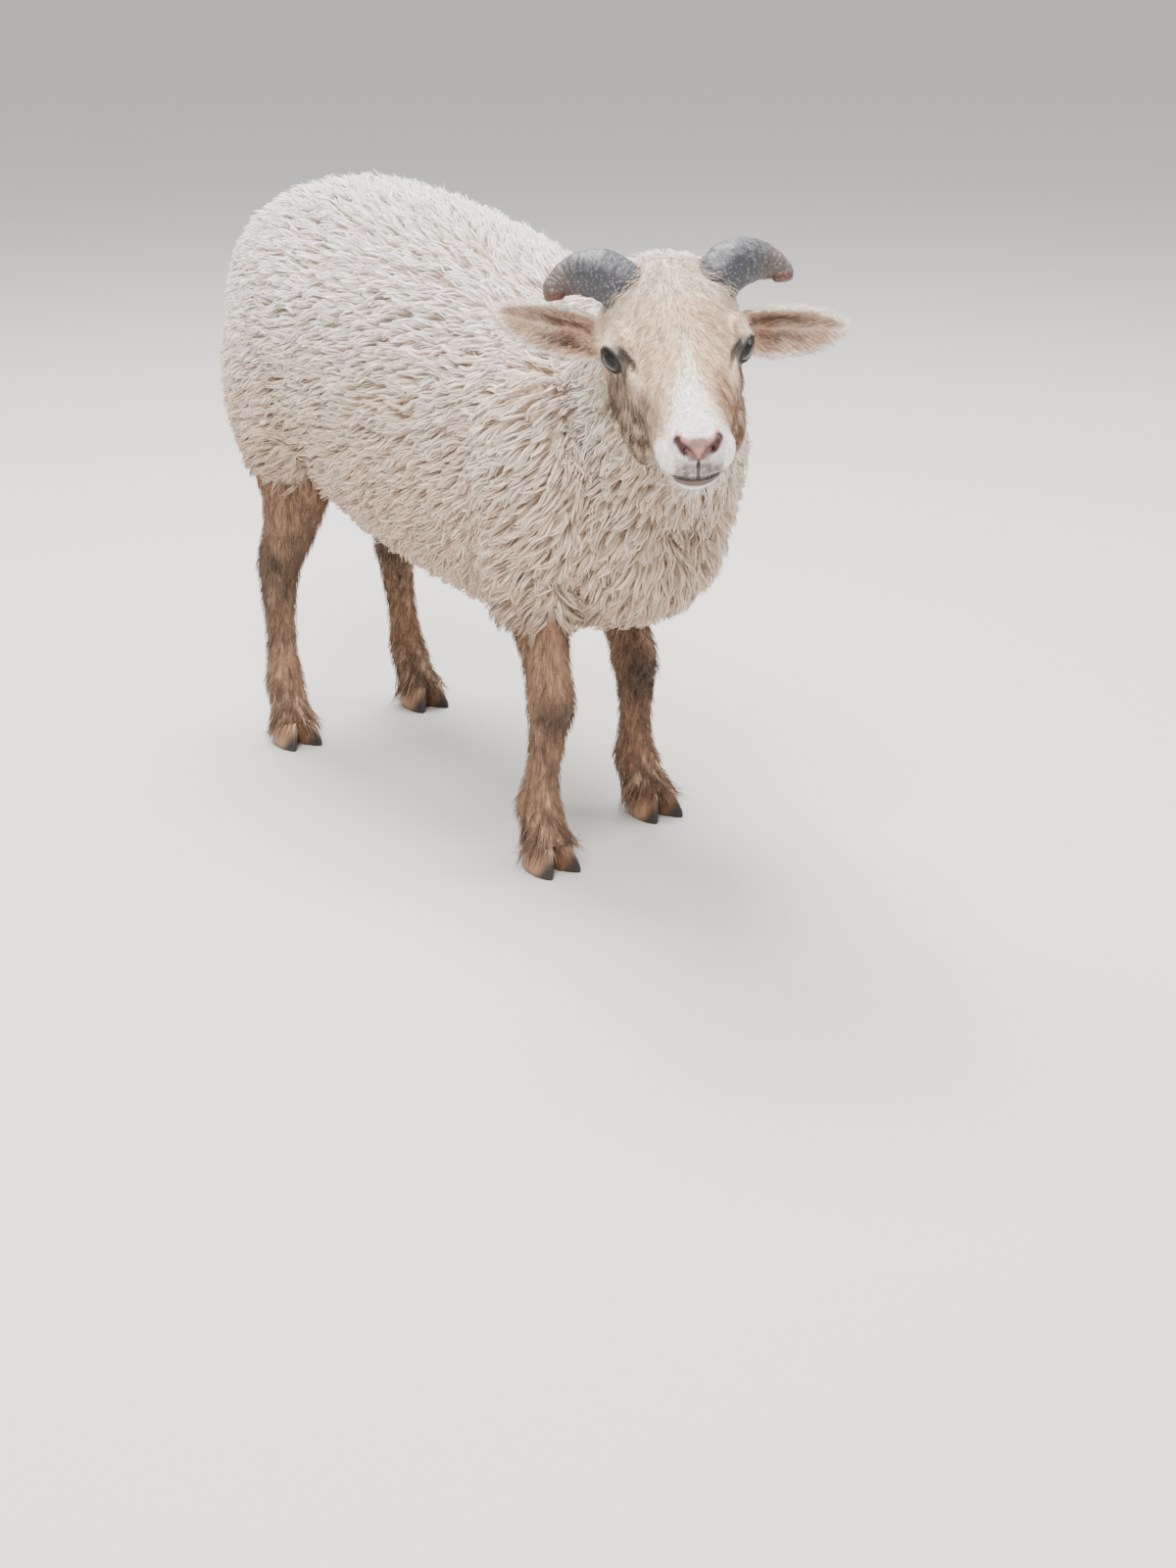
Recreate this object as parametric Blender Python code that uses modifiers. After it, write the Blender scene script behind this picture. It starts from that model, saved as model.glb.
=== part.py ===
"""A young Ouessant ram, life size, standing square on the floor with its head turned to its right.

Metres, +Z up. The sheep faces -Y, +X is its left side and the floor is z = 0. The origin is under the
middle of the model. Places on the body are given as (left, ahead, up) from the point midway between
the forefeet, and places on the head as (left, ahead, up) from the point midway between the eyes.
"""

import math
import random

import bmesh
import bpy
from mathutils import Matrix, Vector
from mathutils.bvhtree import BVHTree

MM = 0.001
GAP = 0.3 * MM
SEED = 7

# Where the middle of the bounding box lies, from the point midway between the forefeet
CENTRE_LEFT = -0.0128
CENTRE_AHEAD = -0.1126

# The fleece's outline: (ahead, top, bottom, half width), breast to rump
TORSO = [
    (0.110, 0.318, 0.256, 0.022),
    (0.097, 0.372, 0.224, 0.054),
    (0.064, 0.424, 0.197, 0.080),
    (0.015, 0.452, 0.183, 0.096),
    (-0.065, 0.470, 0.172, 0.107),
    (-0.150, 0.491, 0.178, 0.114),
    (-0.230, 0.505, 0.192, 0.117),
    (-0.300, 0.512, 0.209, 0.115),
    (-0.370, 0.511, 0.236, 0.110),
    (-0.430, 0.500, 0.272, 0.099),
    (-0.466, 0.470, 0.312, 0.074),
    (-0.484, 0.400, 0.350, 0.028),
]
# The neck's outline along its bend to the right: (left, ahead, up, half width, half height)
NECK = [
    (0.000, -0.010, 0.350, 0.078, 0.105),
    (-0.005, 0.050, 0.368, 0.073, 0.104),
    (-0.018, 0.092, 0.386, 0.068, 0.093),
    (-0.035, 0.122, 0.408, 0.062, 0.080),
    (-0.052, 0.148, 0.428, 0.056, 0.066),
]
# Rounded masses under the fleece: (left, ahead, up, half sizes left, ahead and up), both sides alike
SHOULDER = (0.064, 0.010, 0.315, 0.043, 0.060, 0.092)
THIGH = (0.062, -0.378, 0.335, 0.046, 0.084, 0.100)
STIFLE = (0.070, -0.362, 0.262, 0.034, 0.052, 0.062)
BREAST = (0.018, 0.066, 0.345, 0.045, 0.062, 0.080)

COAT_DEPTH = 0.034
CORE_INSET = 0.5 * COAT_DEPTH

# How the masses melt into one form: voxel size, rounds of smoothing, triangles left
TRUNK_MELT = (0.007, 6, 900)
HEAD_MELT = (0.0028, 5, 1300)

# One clump of fleece, root to tip
CLUMP_SPACING = 0.043
CLUMP_LENGTH = 0.060
CLUMP_WIDTH = 0.044
CLUMP_THICKNESS = 0.019
CLUMP_SINK = 0.007
CLUMP_SIDES = 5
# Its rings: (share of the length, share of the lift, share of the width, share of the thickness)
CLUMP_RINGS = [
    (0.00, 0.00, 0.68, 0.90),
    (0.42, 0.90, 1.00, 1.00),
    (0.84, 1.00, 0.70, 0.70),
]
CLUMP_TIP = (1.00, 0.80)

# The head's outline: (ahead, top, bottom, half width)
HEAD = [
    (-0.082, 0.012, -0.020, 0.022),
    (-0.072, 0.028, -0.046, 0.040),
    (-0.052, 0.039, -0.058, 0.047),
    (-0.028, 0.042, -0.060, 0.049),
    (-0.004, 0.038, -0.056, 0.046),
    (0.018, 0.031, -0.050, 0.044),
    (0.040, 0.025, -0.046, 0.0375),
    (0.062, 0.022, -0.043, 0.0310),
    (0.082, 0.019, -0.041, 0.025),
    (0.096, 0.014, -0.036, 0.022),
    (0.104, 0.006, -0.026, 0.014),
]
# Rounded masses of the head, both sides alike: (left, ahead, up, half sizes left, ahead and up)
BROW = (0.037, -0.002, 0.007, 0.016, 0.024, 0.018)
CHEEK = (0.029, -0.022, -0.028, 0.019, 0.036, 0.031)
JAW = (0.0245, 0.024, -0.034, 0.0195, 0.042, 0.027)
UPPER_LIP = (0.013, 0.088, -0.010, 0.015, 0.019, 0.016)
NOSTRIL_WING = (0.0105, 0.096, 0.004, 0.0095, 0.012, 0.010)
CHIN = (0.0, 0.084, -0.032, 0.018, 0.019, 0.010)
POLL = (0.0, -0.040, 0.027, 0.032, 0.026, 0.015)
TEMPLE = (0.026, -0.040, 0.021, 0.018, 0.024, 0.018)

# How the head is held: turned to the right, nose down, left side up
EYES_MIDDLE = (-0.078, 0.190, 0.436)
HEAD_TURN = math.radians(-29.5)
HEAD_NOD = math.radians(29.5)
HEAD_ROLL = math.radians(-4.5)

EYE = (0.0385, 0.000, 0.003)
EYE_RADIUS = 0.0135
EYE_LOOKS = (0.80, 0.58, 0.10)
# The almond rim of both lids, which runs out into a corner towards the nose
LID_HALF_LENGTH = 0.0112
LID_HALF_HEIGHT = 0.0088
LID_CORNER = 0.0035
LID_POINTS = 14
LID_WIRE = 0.0024
LID_SIDES = 5

# The mouth's line round the muzzle: how far it swings, its half width, where it starts and how far it reaches
MOUTH_SWING = math.radians(78)
MOUTH_HALF_WIDTH = 0.0265
MOUTH_START = 0.070
MOUTH_REACH = 0.036
MOUTH_UP = -0.0215
MOUTH_BOW = 0.0015
MOUTH_POINTS = 13
MOUTH_GROOVE = 0.0017
# The cleft of the upper lip, from the nose down: (ahead, up)
CLEFT = [(0.1065, 0.000), (0.1045, -0.007), (0.1025, -0.014), (0.1005, -0.021)]
CLEFT_GROOVE = 0.0012
# The left nostril's slit, inner end first: (left, ahead, up, half width)
NOSTRIL = [
    (0.0045, 0.1058, -0.0020, 0.0014),
    (0.0070, 0.1055, 0.0022, 0.0024),
    (0.0103, 0.1035, 0.0064, 0.0024),
    (0.0140, 0.0980, 0.0092, 0.0012),
]

# Horn paths and thickness on the left side of the head: (left, ahead, up, half thickness)
HORN = [
    (0.022, -0.034, 0.017, 0.0155),
    (0.034, -0.044, 0.0265, 0.0168),
    (0.046, -0.051, 0.0315, 0.0165),
    (0.058, -0.055, 0.0305, 0.0150),
    (0.068, -0.056, 0.0275, 0.0122),
    (0.0755, -0.053, 0.0250, 0.0096),
    (0.0795, -0.049, 0.0220, 0.0077),
    (0.0800, -0.044, 0.0185, 0.0062),
]
HORN_RIDGE = 0.0007
HORN_RINGS = 19
HORN_SIDES = 9

# The left ear: where it grows, where it points, and its size
EAR_ROOT = (0.044, -0.036, -0.013)
# Where the left and the right ear point
EAR_DIRECTIONS = {1: (0.974, -0.08, -0.21), -1: (-0.906, -0.423, -0.02)}
EAR_OPENS = (0.10, 0.88, 0.25)
EAR_LENGTH = 0.086
EAR_HALF_WIDTH = 0.0190
EAR_CUP = 0.011
EAR_THICKNESS = 0.0030
EAR_STUB = (0.011, 0.013, 0.011)

# Leg paths: (ahead of the foot, up, half width across, half width along)
FORELEG = [
    (-0.024, 0.262, 0.029, 0.036),
    (-0.014, 0.215, 0.0235, 0.029),
    (-0.003, 0.172, 0.0180, 0.0200),
    (0.003, 0.150, 0.0185, 0.0198),
    (0.004, 0.136, 0.0182, 0.0200),
    (0.001, 0.116, 0.0150, 0.0160),
    (-0.004, 0.088, 0.0130, 0.0142),
    (-0.009, 0.066, 0.0140, 0.0158),
    (-0.011, 0.050, 0.0178, 0.0195),
    (-0.004, 0.034, 0.0172, 0.0178),
    (0.002, 0.019, 0.0185, 0.0190),
]
HINDLEG = [
    (0.014, 0.292, 0.033, 0.050),
    (0.012, 0.240, 0.0270, 0.0375),
    (0.000, 0.203, 0.0210, 0.0285),
    (-0.015, 0.176, 0.0180, 0.0240),
    (-0.021, 0.158, 0.0172, 0.0228),
    (-0.021, 0.136, 0.0148, 0.0178),
    (-0.019, 0.104, 0.0130, 0.0148),
    (-0.017, 0.076, 0.0138, 0.0158),
    (-0.014, 0.054, 0.0172, 0.0190),
    (-0.006, 0.035, 0.0166, 0.0176),
    (0.000, 0.020, 0.0182, 0.0188),
]
# Each leg: (name, foot left, foot ahead, top left, lean ahead of the top)
LEGS = [
    ("foreleg_right", -0.072, 0.024, -0.068, 0.000),
    ("foreleg_left", 0.072, -0.024, 0.042, -0.014),
    ("hindleg_right", -0.078, -0.368, -0.071, 0.000),
    ("hindleg_left", 0.078, -0.392, 0.052, 0.006),
]
LEG_SIDES = 11
CORONET_TILT = math.radians(-17)
CORONET_UP = 0.019

CLAW_HALF_LENGTH = 0.0195
CLAW_HALF_WIDTH = 0.0092
CLAW_SPLIT = 0.0016
CLAW_AHEAD = 0.007
CLAW_TOE_OUT = 0.0055
CLAW_LEVELS = ((0.0, 1.0), (0.18, 1.03), (1.0, 0.86))  # share of the claw's height, size there
CLAW_SIDES = 12
DEWCLAW = (0.0085, -0.0185, 0.047, 0.0050, 0.0060, 0.0075)

# The tail's core hangs close behind the rump: (left, ahead, up, half width, half thickness)
TAIL = [
    (0.000, -0.455, 0.440, 0.014, 0.012),
    (0.000, -0.474, 0.422, 0.016, 0.013),
    (0.001, -0.483, 0.392, 0.016, 0.013),
    (0.002, -0.484, 0.360, 0.014, 0.011),
    (0.003, -0.480, 0.334, 0.010, 0.009),
    (0.003, -0.476, 0.318, 0.005, 0.005),
]
TAIL_CLUMP = 0.70  # size of the tail's clumps, against the body's
TAIL_SPACING = 0.024
TAIL_WOOL = (0.333, 0.402)  # lowest and highest root of a clump on the tail
TAIL_ROOM = 0.046  # how far from the tail's middle the body's own clumps stay

COLOURS = {
    "fleece": ((0.80, 0.69, 0.58), 0.95, 0.0),
    "face": ((0.70, 0.56, 0.44), 0.85, 0.0),
    "leg": ((0.42, 0.28, 0.18), 0.85, 0.0),
    "horn": ((0.24, 0.22, 0.22), 0.55, 0.0),
    "hoof": ((0.16, 0.12, 0.09), 0.5, 0.0),
    "eye": ((0.12, 0.09, 0.06), 0.1, 0.0),
}


def on_body(left, ahead, up):
    return Vector((left, -ahead, up))


HEAD_PLACE = (
    Matrix.Translation(on_body(*EYES_MIDDLE))
    @ Matrix.Rotation(HEAD_TURN, 4, "Z")
    @ Matrix.Rotation(HEAD_NOD, 4, "X")
    @ Matrix.Rotation(HEAD_ROLL, 4, "Y")
)


def on_head(left, ahead, up):
    return HEAD_PLACE @ Vector((left, -ahead, up))


def head_way(left, ahead, up):
    """A direction given in the head's own terms, as a unit vector of the model."""
    return (HEAD_PLACE.to_3x3() @ Vector((left, -ahead, up))).normalized()


def clear_scene():
    for obj in list(bpy.data.objects):
        bpy.data.objects.remove(obj, do_unlink=True)


def new_collection(name):
    made = bpy.data.collections.new(name)
    bpy.context.scene.collection.children.link(made)
    return made


def material(kind):
    found = bpy.data.materials.get(kind)
    if found:
        return found
    colour, roughness, metallic = COLOURS[kind]
    made = bpy.data.materials.new(kind)
    made.use_nodes = True
    shader = made.node_tree.nodes["Principled BSDF"]
    shader.inputs["Base Color"].default_value = (*colour, 1)
    shader.inputs["Roughness"].default_value = roughness
    shader.inputs["Metallic"].default_value = metallic
    return made


def object_from(bm, name, collection=None):
    """A mesh object made of a bmesh, which is freed."""
    bmesh.ops.recalc_face_normals(bm, faces=bm.faces)
    mesh = bpy.data.meshes.new(name)
    bm.to_mesh(mesh)
    bm.free()
    obj = bpy.data.objects.new(name, mesh)
    (collection or WORK).objects.link(obj)
    return obj


def remove(obj):
    mesh = obj.data
    bpy.data.objects.remove(obj, do_unlink=True)
    bpy.data.meshes.remove(mesh)


def apply_modifiers(obj):
    """Replaces the object's mesh by the one that its modifiers make."""
    bpy.context.view_layer.update()
    graph = bpy.context.evaluated_depsgraph_get()
    made = bpy.data.meshes.new_from_object(obj.evaluated_get(graph))
    old = obj.data
    obj.modifiers.clear()
    obj.data = made
    bpy.data.meshes.remove(old)


def boolean(obj, others, operation, solver="MANIFOLD"):
    """Joins to obj, or cuts from it, all the others at once, and removes them."""
    if not others:
        return obj
    tools = bpy.data.collections.new("tools")
    bpy.context.scene.collection.children.link(tools)
    for other in others:
        for holder in list(other.users_collection):
            holder.objects.unlink(other)
        tools.objects.link(other)
    modifier = obj.modifiers.new("join", "BOOLEAN")
    modifier.operation = operation
    modifier.operand_type = "COLLECTION"
    modifier.collection = tools
    modifier.solver = solver
    apply_modifiers(obj)
    for other in others:
        remove(other)
    bpy.data.collections.remove(tools)
    return obj


def keep_largest(obj):
    """Leaves only the largest closed surface of the object."""
    bm = bmesh.new()
    bm.from_mesh(obj.data)
    seen = set()
    pieces = []
    for start in bm.faces:
        if start in seen:
            continue
        piece, waiting = [], [start]
        seen.add(start)
        while waiting:
            face = waiting.pop()
            piece.append(face)
            for edge in face.edges:
                for other in edge.link_faces:
                    if other not in seen:
                        seen.add(other)
                        waiting.append(other)
        pieces.append(piece)
    pieces.sort(key=lambda piece: -sum(face.calc_area() for face in piece))
    for piece in pieces[1:]:
        bmesh.ops.delete(bm, geom=piece, context="FACES")
    loose = [vert for vert in bm.verts if not vert.link_faces]
    bmesh.ops.delete(bm, geom=loose, context="VERTS")
    bm.to_mesh(obj.data)
    bm.free()
    return obj


def ellipsoid(name, centre, half_sizes, turn=None, segments=20):
    """A closed ball squeezed to three half sizes (left, ahead, up)."""
    bm = bmesh.new()
    bmesh.ops.create_uvsphere(bm, u_segments=segments, v_segments=segments // 2, radius=1)
    left, ahead, up = half_sizes
    shape = Matrix.Diagonal((left, ahead, up, 1))
    turn = turn.to_4x4() if turn else Matrix.Identity(4)
    bmesh.ops.transform(bm, matrix=Matrix.Translation(centre) @ turn @ shape, verts=bm.verts)
    return object_from(bm, name)


def smooth_between(rows, share):
    """The row at a share of the way along the list, on a Catmull-Rom curve through the rows."""
    place = share * (len(rows) - 1)
    index = min(int(place), len(rows) - 2)
    t = place - index
    before = rows[max(index - 1, 0)]
    first, second = rows[index], rows[index + 1]
    after = rows[min(index + 2, len(rows) - 1)]
    made = []
    for a, b, c, d in zip(before, first, second, after):
        made.append(
            b + 0.5 * t * (c - a + t * (2 * a - 5 * b + 4 * c - d + t * (3 * (b - c) + d - a)))
        )
    return made


def rounded(angle, power):
    """A point of a unit superellipse, as (across, up)."""
    c, s = math.cos(angle), math.sin(angle)
    return math.copysign(abs(c) ** power, c), math.copysign(abs(s) ** power, s)


def loft(name, rings):
    """A closed body of triangles through rings of equally many points, with flat fans over both ends."""
    bm = bmesh.new()
    rows = [[bm.verts.new(point) for point in ring] for ring in rings]
    for row, following in zip(rows, rows[1:]):
        for i in range(len(row)):
            j = (i + 1) % len(row)
            bm.faces.new((row[i], row[j], following[j]))
            bm.faces.new((row[i], following[j], following[i]))
    for row in (rows[0], rows[-1]):
        middle = bm.verts.new(sum((vert.co for vert in row), Vector()) / len(row))
        for i in range(len(row)):
            bm.faces.new((row[i], row[(i + 1) % len(row)], middle))
    return object_from(bm, name)


def sweep(name, path, sizes, sides, across, grow=0.0, power=1.0):
    """A closed tube along a path. sizes are half widths (across, and square to it), and grow swells all."""
    rings = []
    for i, centre in enumerate(path):
        way = (path[min(i + 1, len(path) - 1)] - path[max(i - 1, 0)]).normalized()
        side = (across - way * across.dot(way)).normalized()
        front = way.cross(side)
        wide, deep = sizes[i]
        ring = []
        for k in range(sides):
            a, b = rounded(math.tau * k / sides, power)
            ring.append(centre + side * a * (wide + grow) + front * b * (deep + grow))
        rings.append(ring)
    start = (path[0] - path[1]).normalized() * grow
    end = (path[-1] - path[-2]).normalized() * grow
    rings[0] = [point + start for point in rings[0]]
    rings[-1] = [point + end for point in rings[-1]]
    return loft(name, rings)


def half_space(name, point, normal, size=1.5):
    """A box that fills the side of a plane towards its normal."""
    bm = bmesh.new()
    bmesh.ops.create_cube(bm, size=size)
    turn = Vector(normal).to_track_quat("Z", "Y").to_matrix().to_4x4()
    lift = Matrix.Translation((0, 0, size / 2))
    bmesh.ops.transform(bm, matrix=Matrix.Translation(point) @ turn @ lift, verts=bm.verts)
    return object_from(bm, name)


def cut_beyond(obj, point, normal):
    """Cuts away what lies past a plane, in the direction of its normal, and half a gap before it."""
    normal = Vector(normal).normalized()
    return boolean(obj, [half_space("cutter", point - normal * GAP / 2, normal)], "DIFFERENCE")


def copy_of(obj, name):
    made = obj.copy()
    made.data = obj.data.copy()
    made.name = name
    WORK.objects.link(made)
    return made


def melt(name, masses, voxel, rounds, triangles):
    """One soft closed form from overlapping masses: joined, smoothed and thinned to a triangle count."""
    bm = bmesh.new()
    for mass in masses:
        bm.from_mesh(mass.data)
        remove(mass)
    obj = object_from(bm, name)
    remesh = obj.modifiers.new("remesh", "REMESH")
    remesh.mode = "VOXEL"
    remesh.voxel_size = voxel
    soften = obj.modifiers.new("soften", "SMOOTH")
    soften.factor = 0.5
    soften.iterations = rounds
    apply_modifiers(obj)
    count = sum(len(face.vertices) - 2 for face in obj.data.polygons)
    thin = obj.modifiers.new("thin", "DECIMATE")
    thin.ratio = min(1.0, triangles / count)
    apply_modifiers(obj)
    return keep_largest(obj)


def both_sides(name, mass, place):
    """A mass and its mirror image, set by a place function."""
    left, ahead, up, *half = mass
    made = []
    for sign in (1, -1) if left else (1,):
        turn = HEAD_PLACE.to_3x3() if place is on_head else None
        made.append(ellipsoid(name, place(sign * left, ahead, up), half, turn))
    return made


def outline_rings(rows, place, count, sides, inset=0.0, power=0.92):
    """Rings of an outline given as (ahead, top, bottom, half width)."""
    rings = []
    for k in range(count + 1):
        ahead, top, bottom, wide = smooth_between(rows, k / count)
        middle, deep = (top + bottom) / 2, (top - bottom) / 2
        wide, deep = max(wide - inset, 0.004), max(deep - inset, 0.004)
        ring = []
        for i in range(sides):
            a, b = rounded(math.tau * i / sides, power)
            ring.append(place(wide * a, ahead, middle + deep * b))
        rings.append(ring)
    return rings


def trunk_core():
    """Torso and neck as one soft form, as far in as the clumps of fleece are rooted."""
    inner = [list(row) for row in TORSO]
    inner[0][0] -= CORE_INSET
    inner[-1][0] += CORE_INSET
    masses = [loft("trunk", outline_rings(inner, on_body, 22, 24, CORE_INSET))]
    for mass in (SHOULDER, THIGH, STIFLE, BREAST):
        left, ahead, up, *half = mass
        half = [size - 0.3 * CORE_INSET for size in half]
        masses += both_sides("mass", (left, ahead, up, *half), on_body)
    path, sizes = [], []
    steps = 10
    for k in range(steps + 1):
        left, ahead, up, wide, deep = smooth_between(NECK, k / steps)
        path.append(on_body(left, ahead, up))
        sizes.append((wide - CORE_INSET, deep - CORE_INSET))
    way = (path[-1] - path[-2]).normalized()
    path.append(path[-1] + way * 0.03)
    sizes.append(sizes[-1])
    masses.append(sweep("neck", path, sizes, 20, Vector((1, 0, 0))))
    return melt("trunk", masses, *TRUNK_MELT)


def lie_of_fleece(point, normal):
    """The way the fleece lies: back along the sides, and down over the breast and the rump."""
    flow = Vector((0, 1.0, -0.35))
    if point.y < on_body(0, 0.03, 0).y:
        flow = Vector((0.30 * normal.x, 0.25, -1.0))
    if point.y > on_body(0, -0.40, 0).y:
        flow = Vector((0.20 * normal.x, 0.35, -1.0))
    flow -= normal * flow.dot(normal)
    return flow.normalized()


def clump(root, normal, lie, draw, size=1.0):
    """A rounded tapered clump: rooted in the core, arching up and lying along the coat."""
    across = normal.cross(lie)
    length = size * CLUMP_LENGTH * draw.uniform(0.85, 1.15)
    width = size * CLUMP_WIDTH * draw.uniform(0.88, 1.12)
    thick = size * CLUMP_THICKNESS
    lean = across * length * draw.uniform(-0.16, 0.16)
    lift = size * (COAT_DEPTH - CORE_INSET) - thick / 2 + CLUMP_SINK
    start = root - lie * length * 0.35 - normal * CLUMP_SINK
    bm = bmesh.new()
    rows = []
    for along, high, wide, deep in CLUMP_RINGS:
        centre = start + lie * length * along + normal * lift * high + lean * along**2
        row = []
        for i in range(CLUMP_SIDES):
            angle = math.tau * (i + 0.25) / CLUMP_SIDES
            side = across * math.cos(angle) * wide * width / 2
            row.append(bm.verts.new(centre + side + normal * math.sin(angle) * deep * thick / 2))
        rows.append(row)
    for row, following in zip(rows, rows[1:]):
        for i in range(CLUMP_SIDES):
            j = (i + 1) % CLUMP_SIDES
            bm.faces.new((row[i], row[j], following[j], following[i]))
    along, high = CLUMP_TIP
    tip = bm.verts.new(start + lie * length * along + normal * lift * high + lean)
    for i in range(CLUMP_SIDES):
        bm.faces.new((rows[-1][i], rows[-1][(i + 1) % CLUMP_SIDES], tip))
    bm.faces.new(rows[0])
    return object_from(bm, "clump")


def spread_roots(core, spacing, draw, allowed):
    """Places and normals spread evenly over a core: random tries, kept where no other is near."""
    core.data.calc_loop_triangles()
    points = core.data.vertices
    faces = core.data.loop_triangles
    areas = [face.area for face in faces]
    tries = int(30 * sum(areas) / spacing**2)
    picked = draw.choices(range(len(faces)), weights=areas, k=tries)
    kept = []
    cells = {}
    for index in picked:
        face = faces[index]
        a, b, c = (points[i].co for i in face.vertices)
        u, v = draw.random(), draw.random()
        if u + v > 1:
            u, v = 1 - u, 1 - v
        place = a + (b - a) * u + (c - a) * v
        if not allowed(place, face.normal):
            continue
        cell = tuple(int(math.floor(x / spacing)) for x in place)
        near = (
            other
            for i in (-1, 0, 1)
            for j in (-1, 0, 1)
            for k in (-1, 0, 1)
            for other in cells.get((cell[0] + i, cell[1] + j, cell[2] + k), ())
        )
        if any((place - other).length < spacing for other in near):
            continue
        cells.setdefault(cell, []).append(place)
        kept.append((place, face.normal.copy()))
    return kept


def swollen(obj, name, by):
    """A copy of a smooth body, pushed out along its normals."""
    made = copy_of(obj, name)
    push = made.modifiers.new("push", "DISPLACE")
    push.strength = by
    push.mid_level = 0.0
    apply_modifiers(made)
    return made


def neck_base_plane():
    return on_body(0, 0.062, 0.360), Vector((-0.10, -0.74, 0.66)).normalized()


def fleeced_trunk(head_form):
    """The trunk's core with all its clumps, still one body from rump to throat."""
    draw = random.Random(SEED)
    core = trunk_core()
    head_surface = BVHTree.FromPolygons(
        [vert.co for vert in head_form.data.vertices],
        [face.vertices for face in head_form.data.polygons],
    )

    tail_line = [on_body(*row[:3]) for row in TAIL]
    def clear_of_others(place, normal):
        near, way, index, distance = head_surface.find_nearest(place)
        clear_of_tail = all((place - point).length > TAIL_ROOM for point in tail_line)
        return clear_of_tail and (place - near).dot(way) > 0.004

    roots = spread_roots(core, CLUMP_SPACING, draw, clear_of_others)
    clumps = [clump(place, normal, lie_of_fleece(place, normal), draw) for place, normal in roots]
    return boolean(core, clumps, "UNION")


def leg_path(leg, profile):
    name, foot_left, foot_ahead, top_left, lean = leg
    top_up = profile[0][1]
    path, sizes = [], []
    for ahead, up, wide, deep in profile:
        share = up / top_up
        left = foot_left + (top_left - foot_left) * share
        path.append(on_body(left, foot_ahead + ahead + lean * share, up))
        sizes.append((wide, deep))
    return path, sizes


def coronet_plane(leg):
    """The slanted plane where the skin of a foot meets its claws."""
    name, foot_left, foot_ahead, top_left, lean = leg
    normal = Matrix.Rotation(CORONET_TILT, 3, "X") @ Vector((0, 0, 1))
    return on_body(foot_left, foot_ahead, CORONET_UP), normal


def leg(leg_row, grow=0.0):
    """One leg from inside the trunk down to its coronet."""
    name = leg_row[0]
    path, sizes = leg_path(leg_row, FORELEG if name.startswith("fore") else HINDLEG)
    path.append(path[-1] - Vector((0, 0, 0.02)))
    sizes.append(sizes[-1])
    obj = sweep(name, path, sizes, LEG_SIDES, Vector((1, 0, 0)), grow)
    if grow:
        return obj
    left, ahead, up, *half = DEWCLAW
    foot = Vector(on_body(leg_row[1], leg_row[2], 0))
    knobs = [
        ellipsoid("dewclaw", foot + Vector((sign * left, -ahead, up)), half, segments=8)
        for sign in (1, -1)
    ]
    boolean(obj, knobs, "UNION")
    point, normal = coronet_plane(leg_row)
    cut_beyond(obj, point, -normal)
    return keep_largest(obj)


def claw(leg_row, side):
    """One of a foot's two claws. side is 1 for the left one and -1 for the right one."""
    name = f"{leg_row[0].replace('leg', '')}_claw_{'left' if side > 0 else 'right'}"
    foot_left, foot_ahead = leg_row[1], leg_row[2]
    point, normal = coronet_plane(leg_row)
    rings = []
    for share, size in CLAW_LEVELS:
        ring = []
        for i in range(CLAW_SIDES):
            angle = math.tau * i / CLAW_SIDES
            c, s = math.cos(angle), math.sin(angle)
            narrow = 1 - 0.42 * max(0.0, s) ** 2
            out = CLAW_SPLIT + CLAW_HALF_WIDTH * (1 + c * narrow) * size
            toe = CLAW_TOE_OUT * max(0.0, s) * (1 - share)
            along = CLAW_AHEAD * (1 - 0.85 * share) + CLAW_HALF_LENGTH * s * size
            left = foot_left + side * (out + toe - 0.4 * CLAW_TOE_OUT * max(0.0, s))
            place = on_body(left, foot_ahead + along, 0)
            lift = (point - place).dot(normal) / normal.z - GAP
            ring.append(place + Vector((0, 0, lift * share)))
        rings.append(ring)
    return loft(name, rings)


def horn(side, grow=0.0):
    """A stout horn that leaves the forehead, arches outwards and turns down. side is 1 for the left."""
    path, sizes = [], []
    for k in range(HORN_RINGS + 1):
        share = k / HORN_RINGS
        left, ahead, up, thick = smooth_between(HORN, share)
        path.append(on_head(side * left, ahead, up))
        ridge = HORN_RIDGE * (1 if k % 2 else -1) if 2 < k < HORN_RINGS - 1 else 0
        end = 0.62 if k == HORN_RINGS else 1.0
        sizes.append(((thick + ridge) * end, (thick * 1.06 + ridge) * end))
    across = head_way(0, 1, 0)
    return sweep(f"horn_{side_name(side)}", path, sizes, HORN_SIDES, across, grow, 0.9)


def side_name(side):
    return "left" if side > 0 else "right"


def ear_frame(side):
    """The ear's root and its own axes: along it, across it, and out of its cup."""
    root = on_head(side * EAR_ROOT[0], *EAR_ROOT[1:])
    along = head_way(*EAR_DIRECTIONS[side])
    opens = head_way(side * EAR_OPENS[0], *EAR_OPENS[1:])
    opens = (opens - along * opens.dot(along)).normalized()
    return root, along, along.cross(opens), opens


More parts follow.
